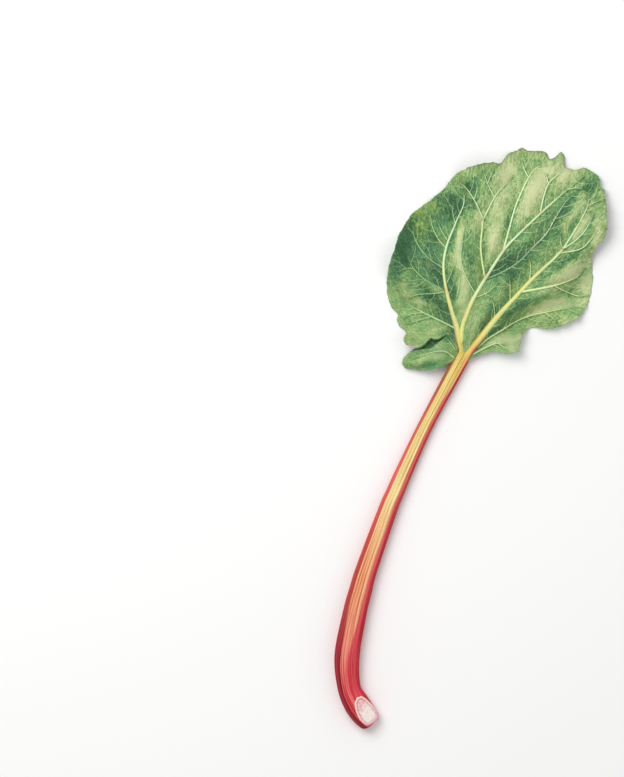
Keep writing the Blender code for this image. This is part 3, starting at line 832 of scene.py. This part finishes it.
    def walls_between(self, centre, points):
        """How many ribs and side veins stand between a centre and each point."""
        count = np.zeros(len(points))
        way = points - centre
        span = np.abs(way).max() + 0.002
        for line in self.walls:
            if np.abs(line - centre).max(axis=1).min() > span:
                continue
            off = line - centre
            turned = way[:, 0][:, None] * off[:, 1] - way[:, 1][:, None] * off[:, 0]
            run = np.diff(line, axis=0)
            home = run[:, 0] * -off[:-1, 1] + run[:, 1] * off[:-1, 0]
            there = (run[:, 0] * (points[:, 1][:, None] - line[:-1, 1])
                     - run[:, 1] * (points[:, 0][:, None] - line[:-1, 0]))
            crossed = (turned[:, :-1] * turned[:, 1:] < 0) & (home * there < 0)
            count += crossed.sum(axis=1) % 2
        return count

    def flat_net(self):
        """Triangles over the whole blade: its margin, its veins and an even net between them."""
        step = self.given.step
        outline = self.outline
        veins = np.vstack([line[1:, :2] for line in self.ribs + self.sides + self.fine + self.finer])
        veins = veins[inside(veins, outline)]
        veins = veins[self.edge.nearest(veins)[0] > 0.6 * step]
        crease = self.crease[inside(self.crease, outline)]
        crease = crease[self.edge.nearest(crease)[0] > 0.5 * step]
        veins = np.vstack([crease, thin_out(veins, 0.55 * step, crease)])
        net = thin_out(even_net(outline, self.edge, step), 0.62 * step, veins)
        return triangulated(np.vstack([outline, veins, net]), len(outline))


def build_lamina(blade):
    """The blade itself: a thin closed sheet over the outline, raised to its height."""
    flat, triangles = blade.flat_net()
    height, masks, flow = blade.height(flat)
    masks.update(blade.tinges(flat))
    thick = blade.given.thickness
    size = len(flat)
    top = np.column_stack([flat, height])
    under = np.column_stack([flat, np.maximum(height - thick, FLOOR_GAP)])
    masks = {key: np.concatenate([v, v]) for key, v in masks.items()}
    masks["under"] = np.concatenate([np.zeros(size), np.ones(size)])
    piece = add_piece("blade", np.vstack([top, under]), sheet_faces(triangles, size), masks,
                      {"flow": np.vstack([flow, flow])})
    face_outward(piece)
    return piece


def tube(line, height, sink, sides, ridges=0):
    """A round vein along a line: its corners, its faces, and for each corner how far along it is, how
    far to the side and up, and the radius there in millimetres."""
    way = directions(line)
    slope = np.gradient(height) / np.maximum(np.linalg.norm(np.gradient(line[:, :2], axis=0), axis=1), 1e-9)
    turn = np.linspace(0.0, 2 * math.pi, sides, endpoint=False)
    verts, place_on = [], []
    count = len(line)
    for j, ((x, y, radius), (hx, hy)) in enumerate(zip(line, way)):
        blunt = min(1.0, 0.35 + 0.3 * min(j, count - 1 - j))
        ridge = 1 + (0.045 * np.cos(ridges * turn + 0.5) if ridges else 0.0)
        side = radius * blunt * ridge * np.cos(turn)
        up = radius * blunt * ridge * np.sin(turn)
        lean = math.atan(slope[j])
        centre = height[j] - sink * radius
        verts.append(np.stack([x + side * hy - up * math.sin(lean) * hx,
                               y - side * hx - up * math.sin(lean) * hy,
                               centre + up * math.cos(lean)], axis=1))
        place_on.append(np.stack([np.full(sides, j / (count - 1)), np.cos(turn), np.sin(turn),
                                  np.full(sides, radius / MM)], axis=1))
    return np.vstack(verts), tube_faces(count, sides), np.vstack(place_on)


def build_veins(blade, name, lines, sink, sides, ridges=0):
    """One piece of many round veins that lie in the blade."""
    verts, faces, where, runs, owner = [], [], [], [], []
    start = 0
    heights = blade.height(np.vstack(lines)[:, :2])[0]
    heights = np.split(heights, np.cumsum([len(line) for line in lines])[:-1])
    for number, (line, height) in enumerate(zip(lines, heights)):
        if ridges:
            out = smoothstep((line[:, :2] - LEAF_BASE) @ LEAF_WAY, -0.012, 0.010)
            height = (RIB_ROOT_HEIGHT + sink * line[:, 2]) * (1 - out) + height * out
        body, skins, spots = tube(line, height, sink, sides, ridges)
        body[:, 2] = np.maximum(body[:, 2], FLOOR_GAP)
        verts.append(body)
        faces += [tuple(start + i for i in f) for f in skins]
        where.append(spots)
        runs.append(np.repeat(length_at(line), sides))
        owner.append(np.full(len(body), number))
        start += len(body)
    where, verts, owner = np.vstack(where), np.vstack(verts), np.concatenate(owner)
    out = verts[:, :2] - LEAF_BASE
    far = np.linalg.norm(out, axis=1)
    ahead = out @ LEAF_WAY
    fork = sum(np.exp(-((verts[:, :2] - spot) ** 2).sum(axis=1) / 0.0030 ** 2) for spot in FORKS)
    masks = {"far": far / MM, "fork": fork}
    if ridges:
        flank = 1 - smoothstep(where[:, 1], -0.85, 0.15)
        outer = flank * (owner == 0)
        masks["across"] = np.maximum(0.5 + out @ LEAF_SIDE / STALK_TOP_WIDTH, 0.24 - 0.18 * outer)
        masks["joint"] = 1 - smoothstep(ahead, 0.001, 0.016)
        grown = np.where(owner == 0, smoothstep(far, 0.008, 0.020), smoothstep(far, 0.024, 0.036))
        # Painted shade: a mauve tint on the left flanks of the left and middle ribs near the fork.
        masks["blush_and_shade"] = flank * (owner < 2) * (1 - smoothstep(far, 0.022, 0.055)) * grown
        masks["pale"] = (owner == 1) * smoothstep(far, 0.030, 0.065) + (owner == 0) * smoothstep(
            far, 0.045, 0.090)
        flank = 1 - smoothstep(where[:, 1], -0.95, -0.35)
        masks["ember"] = flank * (owner == 2) * (1 - smoothstep(far, 0.012, 0.055))
        masks["glow"] = (owner == 2) * (1 - smoothstep(far, 0.010, 0.034))
        masks["edge_red"] = (owner == 2) * smoothstep(where[:, 1], 0.45, 0.85) * (
            1 - smoothstep(far, 0.012, 0.034))
    else:
        masks["bright"] = smoothstep(verts[:, 0], -0.020, 0.030)
        masks["thin"] = 1 - smoothstep(where[:, 3], 0.05, 0.34)
        masks["dim"] = np.isin(owner, DIM_VEINS) * (1 - smoothstep(where[:, 0], 0.35, 0.72))
        masks["golden"] = smoothstep(verts[:, 0], 0.0, 0.025) * (1 - smoothstep(verts[:, 1], 0.120, 0.160))
        masks["golden"] += owner == GOLDEN_VEIN
    strand = np.column_stack([np.arctan2(where[:, 2], where[:, 1]), np.concatenate(runs), 0 * far])
    piece = add_piece(name, verts, faces, masks, {"strand": strand})
    face_outward(piece)
    return piece


# ---------------------------------------------------------------- materials

class Finish:
    """A material in the making: each call adds a node and gives back its output."""

    def __init__(self, name):
        self.material = bpy.data.materials.new(name)
        self.material.use_nodes = True
        self.tree = self.material.node_tree
        self.shader = self.tree.nodes["Principled BSDF"]
        self.placed = 0

    def add(self, kind, inputs=None, **kept):
        node = self.tree.nodes.new(kind)
        node.location = (-220 * (1 + self.placed % 8), 400 - 180 * (self.placed // 8))
        self.placed += 1
        for key, value in kept.items():
            setattr(node, key, value)
        for key, value in (inputs or {}).items():
            self.give(node.inputs[key], value)
        return node

    def give(self, socket, value):
        if isinstance(value, bpy.types.NodeSocket):
            self.tree.links.new(value, socket)
        elif socket.type == "RGBA" and len(value) == 3:
            socket.default_value = (*value, 1.0)
        else:
            socket.default_value = value

    def mask(self, name):
        return self.add("ShaderNodeAttribute", attribute_name=name).outputs["Fac"]

    def vector(self, name):
        return self.add("ShaderNodeAttribute", attribute_name=name).outputs["Vector"]

    def math(self, operation, first, second):
        return self.add("ShaderNodeMath", {0: first, 1: second}, operation=operation).outputs[0]

    def span(self, value, low, high, to_low=0.0, to_high=1.0):
        """A value brought smoothly from one span to another."""
        return self.add("ShaderNodeMapRange", {"Value": value, "From Min": low, "From Max": high,
                                               "To Min": to_low, "To Max": to_high},
                        interpolation_type="SMOOTHSTEP").outputs["Result"]

    def mix(self, factor, first, second, blend="MIX"):
        node = self.add("ShaderNodeMix", data_type="RGBA", blend_type=blend)
        self.give(node.inputs["Factor"], factor)
        self.give(node.inputs[6], first)
        self.give(node.inputs[7], second)
        return node.outputs[2]

    def lay(self, tint, layers):
        """Colours laid over another in turn, each where a named mask is high and with its own share."""
        for name, share, shade in layers:
            tint = self.mix(self.math("MULTIPLY", self.mask(name), share), tint, shade)
        return tint

    def stretch(self, vector, scale):
        return self.add("ShaderNodeMapping", {"Vector": vector, "Scale": scale}).outputs[0]

    def noise(self, vector, scale, detail=3.0, rough=0.55, bent=0.0):
        return self.add("ShaderNodeTexNoise", {
            "Vector": vector, "Scale": scale, "Detail": detail, "Roughness": rough,
            "Distortion": bent}).outputs["Fac"]

    def cells(self, vector, scale):
        """Distance to the border of irregular cells."""
        return self.add("ShaderNodeTexVoronoi", {"Vector": vector, "Scale": scale},
                        feature="DISTANCE_TO_EDGE").outputs["Distance"]

    def position(self):
        return self.add("ShaderNodeNewGeometry").outputs["Position"]

    def bump(self, height, distance, strength):
        node = self.add("ShaderNodeBump", {"Height": height, "Distance": distance, "Strength": strength})
        return node.outputs[0]

    def ramp(self, value, stops):
        """A colour for each value, blended between the stops."""
        node = self.add("ShaderNodeValToRGB", {"Fac": value})
        marks = node.color_ramp.elements
        marks.remove(marks[1])
        marks[0].position = stops[0][0]
        marks[0].color = (*stops[0][1], 1.0)
        for at, shade in stops[1:]:
            marks.new(at).color = (*shade, 1.0)
        return node.outputs["Color"]

    def band(self, across, along):
        """The stalk's colours: red flanks, and a pale band between them that widens above the foot."""
        given = settings().stalk
        # The flanks' darker reds, wine near the foot and umber under the blade on the left and crimson at
        # the right edge, are the skin's red with painted shade on them.
        left = self.ramp(along, [(0.20, given.wine), (0.42, given.brick), (0.66, given.rose),
                                 (0.96, given.umber)])
        right = self.mix(self.span(along, 0.50, 0.65), given.rouge, given.rose)
        right = self.mix(self.span(across, 0.84, 0.98), right, given.crimson)
        # The pink stop near the foot is a painted highlight.
        core = self.ramp(along, [(0.09, given.rouge), (0.19, given.pink), (0.38, given.orange),
                                 (0.60, given.cream), (0.88, given.gold), (0.96, given.citron)])
        warmer = self.math("MULTIPLY", self.span(across, 0.60, 0.76), self.span(along, 0.85, 0.96))
        core = self.mix(warmer, core, given.amber)
        low = self.span(along, 0.25, 0.95, 0.21, 0.13)
        high = self.math("ADD", self.span(along, 0.08, 0.32, 0.38, 0.74),
                         self.span(along, 0.84, 0.96, 0.0, 0.16))
        within = self.math("MULTIPLY", self.span(self.math("SUBTRACT", across, low), -0.03, 0.05),
                           self.span(self.math("SUBTRACT", high, across), -0.05, 0.05))
        return self.mix(within, self.mix(self.span(across, 0.20, 0.30), left, right), core)

    def finish(self, **inputs):
        for key, value in inputs.items():
            self.give(self.shader.inputs[key.replace("_", " ")], value)
        return self.material


def stalk_finish():
    """Crimson skin, with a streaked band that goes from pink through orange to gold."""
    given = settings().stalk
    f = Finish("stalk_skin")
    up, side, along, skin = f.mask("up"), f.mask("side"), f.mask("along"), f.vector("skin")
    streak = f.noise(f.stretch(skin, (760.0, 10.0, 1.0)), 1.0, 3.0, 0.55)
    line = f.noise(f.stretch(skin, (1250.0, 12.0, 1.0)), 1.0, 2.0, 0.5)
    hair = f.noise(f.stretch(skin, (2300.0, 30.0, 1.0)), 1.0, 2.0, 0.5)
    across = f.math("ADD", f.math("MULTIPLY", side, 0.5), f.span(streak, 0.25, 0.75, 0.47, 0.53))
    tint = f.band(across, along)
    within = f.math("MULTIPLY", f.span(side, -0.72, -0.55), f.span(side, 0.60, 0.25))
    strong = f.span(within, 0.0, 1.0, 0.10, 0.85)
    clear = f.math("MULTIPLY", strong, f.span(along, 0.05, 0.25, 0.60, 1.0))
    # Pale stripes: fine light lines of the skin; near the foot they are pink painted highlight.
    pale = f.mix(f.span(along, 0.17, 0.31), given.pink, given.peach)
    pale = f.mix(f.span(along, 0.42, 0.62), pale, given.cream)
    tint = f.mix(f.math("MULTIPLY", f.span(line, 0.51, 0.59), clear), tint, pale)
    tint = f.mix(f.math("MULTIPLY", f.span(hair, 0.53, 0.64, 0.0, 0.50), clear), tint, pale)
    shade = f.math("MAXIMUM", f.math("MULTIPLY", f.span(line, 0.47, 0.39), strong),
                   f.span(hair, 0.47, 0.36, 0.0, 0.62))
    dusk = f.mix(f.span(along, 0.45, 0.62), (0.66, 0.34, 0.27), (0.72, 0.54, 0.42))
    tint = f.mix(shade, tint, dusk, "MULTIPLY")
    tint = f.mix(f.span(f.mask("rib"), 0.30, 0.0, 0.0, 0.20), tint, given.crimson)
    tint = f.mix(f.span(up, 0.10, -0.45), tint, f.mix(f.span(streak, 0.4, 0.6), given.crimson, given.rouge))
    tip = f.math("MULTIPLY", f.span(along, 0.050, 0.022), f.span(side, -0.10, 0.25, 0.0, 0.85))
    tint = f.mix(tip, tint, given.blossom)
    # Painted shade: the groove is darkened to maroon.
    tint = f.lay(tint, [("groove", 0.75, given.maroon)])
    relief = f.math("ADD", f.math("MULTIPLY", line, 0.7), f.math("MULTIPLY", hair, 0.3))
    return f.finish(Base_Color=tint, Roughness=f.span(streak, 0.2, 0.8, 0.46, 0.60),
                    Normal=f.bump(relief, 0.00020, 0.6), Specular_IOR_Level=0.06)


def cut_finish():
    """Pale, moist flesh inside a light rind; painted shade colours it across the cut: pink towards the upper
    left with a red line inside the rim there, lilac towards the lower right.
    """
    given = settings().cut
    f = Finish("cut_flesh")
    edge, shade, spot = f.mask("edge"), f.mask("shade"), f.vector("spot")
    rim = given.rim / MM
    mottle = f.noise(spot, 380.0, 4.0, 0.6)
    fibre = f.noise(f.stretch(spot, (700.0, 2400.0, 1.0)), 1.0, 3.0, 0.6)
    uneven = f.math("ADD", edge, f.span(f.noise(spot, 620.0, 2.0), 0.3, 0.7, -0.35, 0.35))
    # Painted shade across the cut: pink flesh towards the upper left.
    side = f.math("ADD", shade, f.span(mottle, 0.3, 0.7, -0.30, 0.30))
    tint = f.mix(f.span(side, -0.10, 0.80, 0.0, 0.85), given.flesh, given.blush_and_shade)
    tint = f.mix(f.span(mottle, 0.53, 0.66, 0.0, 0.50), tint, given.lilac)
    tint = f.mix(f.span(mottle, 0.47, 0.34, 0.0, 0.70), tint, (0.98, 0.93, 0.89))
    tint = f.mix(f.span(fibre, 0.55, 0.75, 0.0, 0.35), tint, (0.98, 0.92, 0.87))
    # Painted shade: lilac near the rim towards the lower right.
    low = f.math("MULTIPLY", f.span(side, 0.05, -0.45), f.span(uneven, rim + 1.6, rim))
    tint = f.mix(f.math("MULTIPLY", low, 0.75), tint, given.lilac)
    # Painted shadow: the red line inside the rim, on the upper-left side only.
    ring = f.math("MULTIPLY", f.span(uneven, rim - 0.15, rim + 0.10), f.span(uneven, rim + 0.85, rim + 0.35))
    ring = f.math("MULTIPLY", ring, f.span(side, -0.45, 0.10))
    tint = f.mix(f.math("MULTIPLY", ring, 0.75), tint, given.ring)
    # The rind is pale towards the upper left and lilac in painted shade towards the lower right.
    rind = f.mix(f.span(side, -0.55, -0.05), given.lilac, given.rind)
    rind = f.mix(f.span(mottle, 0.50, 0.62, 0.0, 0.45), rind, given.blush_and_shade)
    tint = f.mix(f.span(uneven, rim + 0.05, rim - 0.20), tint, rind)
    relief = f.math("ADD", fibre, f.math("MULTIPLY", mottle, 0.6))
    return f.finish(Base_Color=tint, Roughness=0.42, Normal=f.bump(relief, 0.0003, 0.7),
                    Coat_Weight=0.15, Coat_Roughness=0.3, Subsurface_Weight=0.12,
                    Subsurface_Radius=(0.004, 0.002, 0.0015))


def blade_finish():
    """Blue-green blade: painted shade darkens it beside the ribs and in its hollows and painted light
    brightens its crests, with fine strokes and veinlets.
    """
    given = settings().blade
    f = Finish("leaf_green")
    flow, spot = f.vector("flow"), f.position()
    side_gap, vein_gap, edge = f.mask("side_gap"), f.mask("vein_gap"), f.mask("edge")
    streak = f.noise(f.stretch(flow, (42.0, 110.0, 1.0)), 1.0, 4.0, 0.62, 0.6)
    brush = f.noise(f.stretch(flow, (88.0, 250.0, 1.0)), 1.0, 3.0, 0.65, 0.4)
    stroke = f.noise(f.stretch(flow, (135.0, 320.0, 1.0)), 1.0, 2.0, 0.6, 0.2)
    pencil = f.noise(f.stretch(flow, (125.0, 240.0, 1.0)), 1.0, 2.0, 0.5, 0.3)
    cloud = f.noise(spot, 70.0, 3.0, 0.55)
    hue = f.noise(spot, 42.0, 3.0, 0.55)
    speck = f.noise(spot, 900.0, 3.0, 0.6)
    # Painted light and shade: the listed areas, and lighter where the blade swells between side veins.
    value = f.math("ADD", f.mask("painted_shading"), f.math("MULTIPLY", f.mask("quilt"), 0.25))
    for grain, low, high, reach in ((cloud, 0.3, 0.7, 0.16), (streak, 0.35, 0.65, 0.15),
                                    (brush, 0.43, 0.57, 0.22), (speck, 0.40, 0.60, 0.17)):
        value = f.math("ADD", value, f.span(grain, low, high, -reach, reach))
    shadow = f.span(f.mask("painted_shading"), 0.9, -0.7, 0.16, 0.56)
    value = f.math("SUBTRACT", value, f.math("MULTIPLY", f.span(stroke, 0.50, 0.58), shadow))
    value = f.math("ADD", value, f.span(pencil, 0.52, 0.60, 0.0, 0.48))
    value = f.math("SUBTRACT", value, f.math("MULTIPLY", f.mask("cast"), 0.65))
    value = f.math("ADD", value, f.math("MULTIPLY", f.mask("lit"), 0.20))
    level = f.add("ShaderNodeMapRange",
                  {"Value": value, "From Min": -1.5, "From Max": 1.45}).outputs["Result"]
    tint = f.ramp(level, [(0.06, given.deep), (0.30, given.dark), (0.50, given.green), (0.70, given.light),
                          (0.94, given.pale)])
    tint = f.mix(f.span(hue, 0.50, 0.66, 0.0, 0.45), tint, given.blue, "SOFT_LIGHT")
    tint = f.mix(f.span(hue, 0.50, 0.66, 0.0, 0.22), tint, given.blue)
    tint = f.mix(f.span(cloud, 0.44, 0.30, 0.0, 0.35), tint, given.olive)
    tint = f.mix(f.span(f.mask("warmth"), 0.0, 1.0), tint, given.warm, "MULTIPLY")
    tint = f.mix(f.span(f.mask("warmth"), 0.0, -1.0), tint, given.cool, "MULTIPLY")
    # Painted shade: darker green close beside the ribs and side veins.
    tint = f.mix(f.span(side_gap, 1.6, 0.6, 0.0, 0.18), tint, given.dark)
    tint = f.mix(f.span(speck, 0.58, 0.76, 0.0, 0.18), tint, given.light)
    mesh = f.cells(spot, 480.0)
    tint = f.mix(f.span(mesh, 0.05, 0.0, 0.0, 0.22), tint, given.vein)
    tint = f.mix(f.span(vein_gap, 0.40, 0.05, 0.0, 0.22), tint, given.vein)
    tint = f.mix(f.span(edge, 0.9, 0.2, 0.0, 0.35), tint, given.vein_dim)
    # Painted highlight: light green along the lip over the crease; the brown margin and the pinkish rim are
    # the leaf's own colours.
    tint = f.lay(tint, [("brown", 0.65, given.brown), ("lip", 0.60, given.light),
                        ("pink_lip", 0.95, given.lip)])
    # Painted shade: dark slate green inside the crease.
    tint = f.mix(f.mask("shaded_fold"), tint, f.mix(f.span(hue, 0.4, 0.6), given.crease_shade, given.dark))
    tint = f.lay(tint, [("under", 0.75, given.under)])
    relief = f.math("ADD", f.math("MULTIPLY", f.span(mesh, 0.0, 0.12), 0.6), f.math("MULTIPLY", speck, 0.4))
    return f.finish(Base_Color=tint, Roughness=f.span(cloud, 0.3, 0.7, 0.54, 0.66),
                    Normal=f.bump(relief, 0.00030, 0.8), Specular_IOR_Level=0.25)


def rib_finish():
    """Yellow main ribs: striped like the stalk where they leave it, with a mauve tint of painted shade on
    their left flanks.
    """
    given = settings().blade
    f = Finish("rib_yellow")
    far, strand = f.mask("far"), f.vector("strand")
    streak = f.noise(f.stretch(strand, (2.6, 22.0, 1.0)), 1.0, 3.0, 0.6)
    tinge = f.noise(f.position(), 70.0, 2.0)
    tint = f.mix(f.math("MAXIMUM", f.span(far, 60.0, 140.0), f.mask("pale")), given.rib, given.rib_tip)
    tint = f.mix(f.span(far, 135.0, 172.0, 0.0, 0.6), tint, given.green)
    tint = f.mix(f.span(streak, 0.54, 0.70, 0.0, 0.35), tint, (0.88, 0.84, 0.56))
    tint = f.mix(f.span(streak, 0.46, 0.32, 0.0, 0.35), tint, (0.36, 0.38, 0.10))
    # Painted shade: the mauve tint on the ribs' left flanks near the fork.
    tint = f.lay(tint, [("blush_and_shade", 0.75, given.blush_and_shade), ("ember", 0.80, given.ember),
                        ("glow", 0.55, given.glow), ("fork", 0.30, given.ember),
                        ("edge_red", 0.80, settings().stalk.maroon)])
    tint = f.mix(f.span(tinge, 0.57, 0.68, 0.0, 0.12), tint, given.blush_and_shade)
    across = f.math("ADD", f.mask("across"), f.span(streak, 0.25, 0.75, -0.05, 0.05))
    tint = f.mix(f.mask("joint"), tint, f.band(across, 1.0))
    return f.finish(Base_Color=tint, Roughness=0.5, Normal=f.bump(streak, 0.00018, 0.5),
                    Specular_IOR_Level=0.3)


def vein_finish(name, fade, dim):
    """Pale side veins, brighter to the right and golden by the right ear, fading into the blade."""
    given = settings().blade
    f = Finish(name)
    tinge = f.noise(f.position(), 90.0, 2.0)
    tint = f.mix(f.mask("bright"), given.vein, given.vein_light)
    tint = f.lay(tint, [("golden", 0.7, given.vein_gold), ("dim", dim, given.vein_dim)])
    tint = f.mix(f.span(tinge, 0.50, 0.72, 0.0, 0.30), tint, given.rib)
    tint = f.lay(tint, [("fork", 0.35, given.ember)])
    tint = f.mix(f.span(f.mask("thin"), 0.3, 1.0, 0.0, fade), tint, given.green)
    streak = f.noise(f.stretch(f.vector("strand"), (3.0, 60.0, 1.0)), 1.0, 3.0, 0.6)
    return f.finish(Base_Color=tint, Roughness=0.5, Normal=f.bump(streak, 0.00015, 0.5),
                    Specular_IOR_Level=0.3)


def floor_finish():
    """Plain, dull and pale."""
    f = Finish("floor")
    return f.finish(Base_Color=settings().stage.floor, Roughness=0.9, Specular_IOR_Level=0.1)


# ---------------------------------------------------------------- operators

class RHUBARB_OT_stalk(bpy.types.Operator):
    """Make the stalk's ribbed skin and the flesh that shows in its cut foot"""
    bl_idname = "rhubarb.stalk"
    bl_label = "Stalk"
    bl_options = {"REGISTER", "UNDO"}

    def execute(self, context):
        skin = build_stalk()
        loop = slice_foot(skin)
        place(skin, stalk_finish(), "petiole")
        flesh = build_cut(loop)
        place(flesh, cut_finish(), "petiole")
        return {"FINISHED"}


class RHUBARB_OT_blade(bpy.types.Operator):
    """Make the blade with its main ribs, side veins and fine veins"""
    bl_idname = "rhubarb.blade"
    bl_label = "Blade and veins"
    bl_options = {"REGISTER", "UNDO"}

    def execute(self, context):
        blade = Blade()
        place(build_lamina(blade), blade_finish(), "leaf_blade")
        ribs = build_veins(blade, "main_ribs", blade.ribs, 0.25, 28, 9)
        place(ribs, rib_finish(), "leaf_blade")
        sides = build_veins(blade, "side_veins", blade.sides, 0.35, 10)
        place(sides, vein_finish("side_vein", 0.6, 0.9), "leaf_blade")
        fine = build_veins(blade, "fine_veins", blade.fine, 0.45, 6)
        place(fine, vein_finish("fine_vein", 0.40, 0.0), "leaf_blade")
        return {"FINISHED"}


class RHUBARB_OT_stage(bpy.types.Operator):
    """Make the floor, the soft lights and the camera that looks straight down"""
    bl_idname = "rhubarb.stage"
    bl_label = "Stage"
    bl_options = {"REGISTER", "UNDO"}

    def execute(self, context):
        given = settings().stage
        scene = context.scene
        bpy.ops.mesh.primitive_plane_add(size=6.0, location=(0.0, 0.0, -0.0001))
        floor = context.active_object
        floor.name = "floor"
        floor.data.materials.append(floor_finish())
        self.add_area("key", location=(-0.7, 0.7, 1.35), size=1.1, power=18.0)
        self.add_area("fill", location=(1.1, -0.5, 1.3), size=1.6, power=3.6)
        world = bpy.data.worlds.new("soft_sky")
        world.use_nodes = True
        sky = world.node_tree.nodes["Background"]
        sky.inputs["Color"].default_value = (1.0, 1.0, 1.0, 1.0)
        sky.inputs["Strength"].default_value = 0.50
        scene.world = world
        lens = bpy.data.cameras.new("overhead")
        lens.lens = given.lens
        lens.clip_end = 20.0
        lens.dof.use_dof = False
        camera = bpy.data.objects.new("overhead", lens)
        camera.location = (*given.offset, given.frame_height * given.lens / lens.sensor_width)
        scene.collection.objects.link(camera)
        scene.camera = camera
        scene.view_settings.view_transform = "Standard"
        return {"FINISHED"}

    def add_area(self, name, location, size, power):
        """A square soft light that looks at the middle of the part."""
        light = bpy.data.lights.new(name, "AREA")
        light.size = size
        light.energy = power
        lamp = bpy.data.objects.new(name, light)
        lamp.location = location
        lamp.rotation_euler = Vector(location).to_track_quat("Z", "Y").to_euler()
        bpy.context.scene.collection.objects.link(lamp)


class RhubarbSettings(bpy.types.PropertyGroup):
    """All the sizes and colours of the rhubarb stalk."""
    stalk: PointerProperty(type=StalkSettings)
    cut: PointerProperty(type=CutSettings)
    blade: PointerProperty(type=BladeSettings)
    stage: PointerProperty(type=StageSettings)


class RHUBARB_PT_panel(bpy.types.Panel):
    """Sizes, colours and makers of the rhubarb stalk"""
    bl_idname = "RHUBARB_PT_panel"
    bl_label = "Rhubarb stalk"
    bl_space_type = "VIEW_3D"
    bl_region_type = "UI"
    bl_category = "Rhubarb"

    def draw(self, context):
        layout = self.layout
        groups = context.scene.rhubarb
        rows = (("stalk", "rhubarb.stalk"), ("cut", None), ("blade", "rhubarb.blade"),
                ("stage", "rhubarb.stage"))
        for name, maker in rows:
            box = layout.box()
            box.label(text=name.capitalize())
            group = getattr(groups, name)
            for key in group.bl_rna.properties.keys():
                if key not in ("rna_type", "name"):
                    box.prop(group, key)
            if maker:
                box.operator(maker)


CLASSES = (
    StalkSettings, CutSettings, BladeSettings, StageSettings, RhubarbSettings, RHUBARB_OT_stalk,
    RHUBARB_OT_blade, RHUBARB_OT_stage, RHUBARB_PT_panel,
)


def register():
    for made in CLASSES:
        bpy.utils.register_class(made)
    bpy.types.Scene.rhubarb = PointerProperty(type=RhubarbSettings)


def unregister():
    del bpy.types.Scene.rhubarb
    for made in reversed(CLASSES):
        bpy.utils.unregister_class(made)


def main():
    register()
    bpy.ops.rhubarb.stage()
    bpy.ops.rhubarb.stalk()
    bpy.ops.rhubarb.blade()


if __name__ == "__main__":
    main()
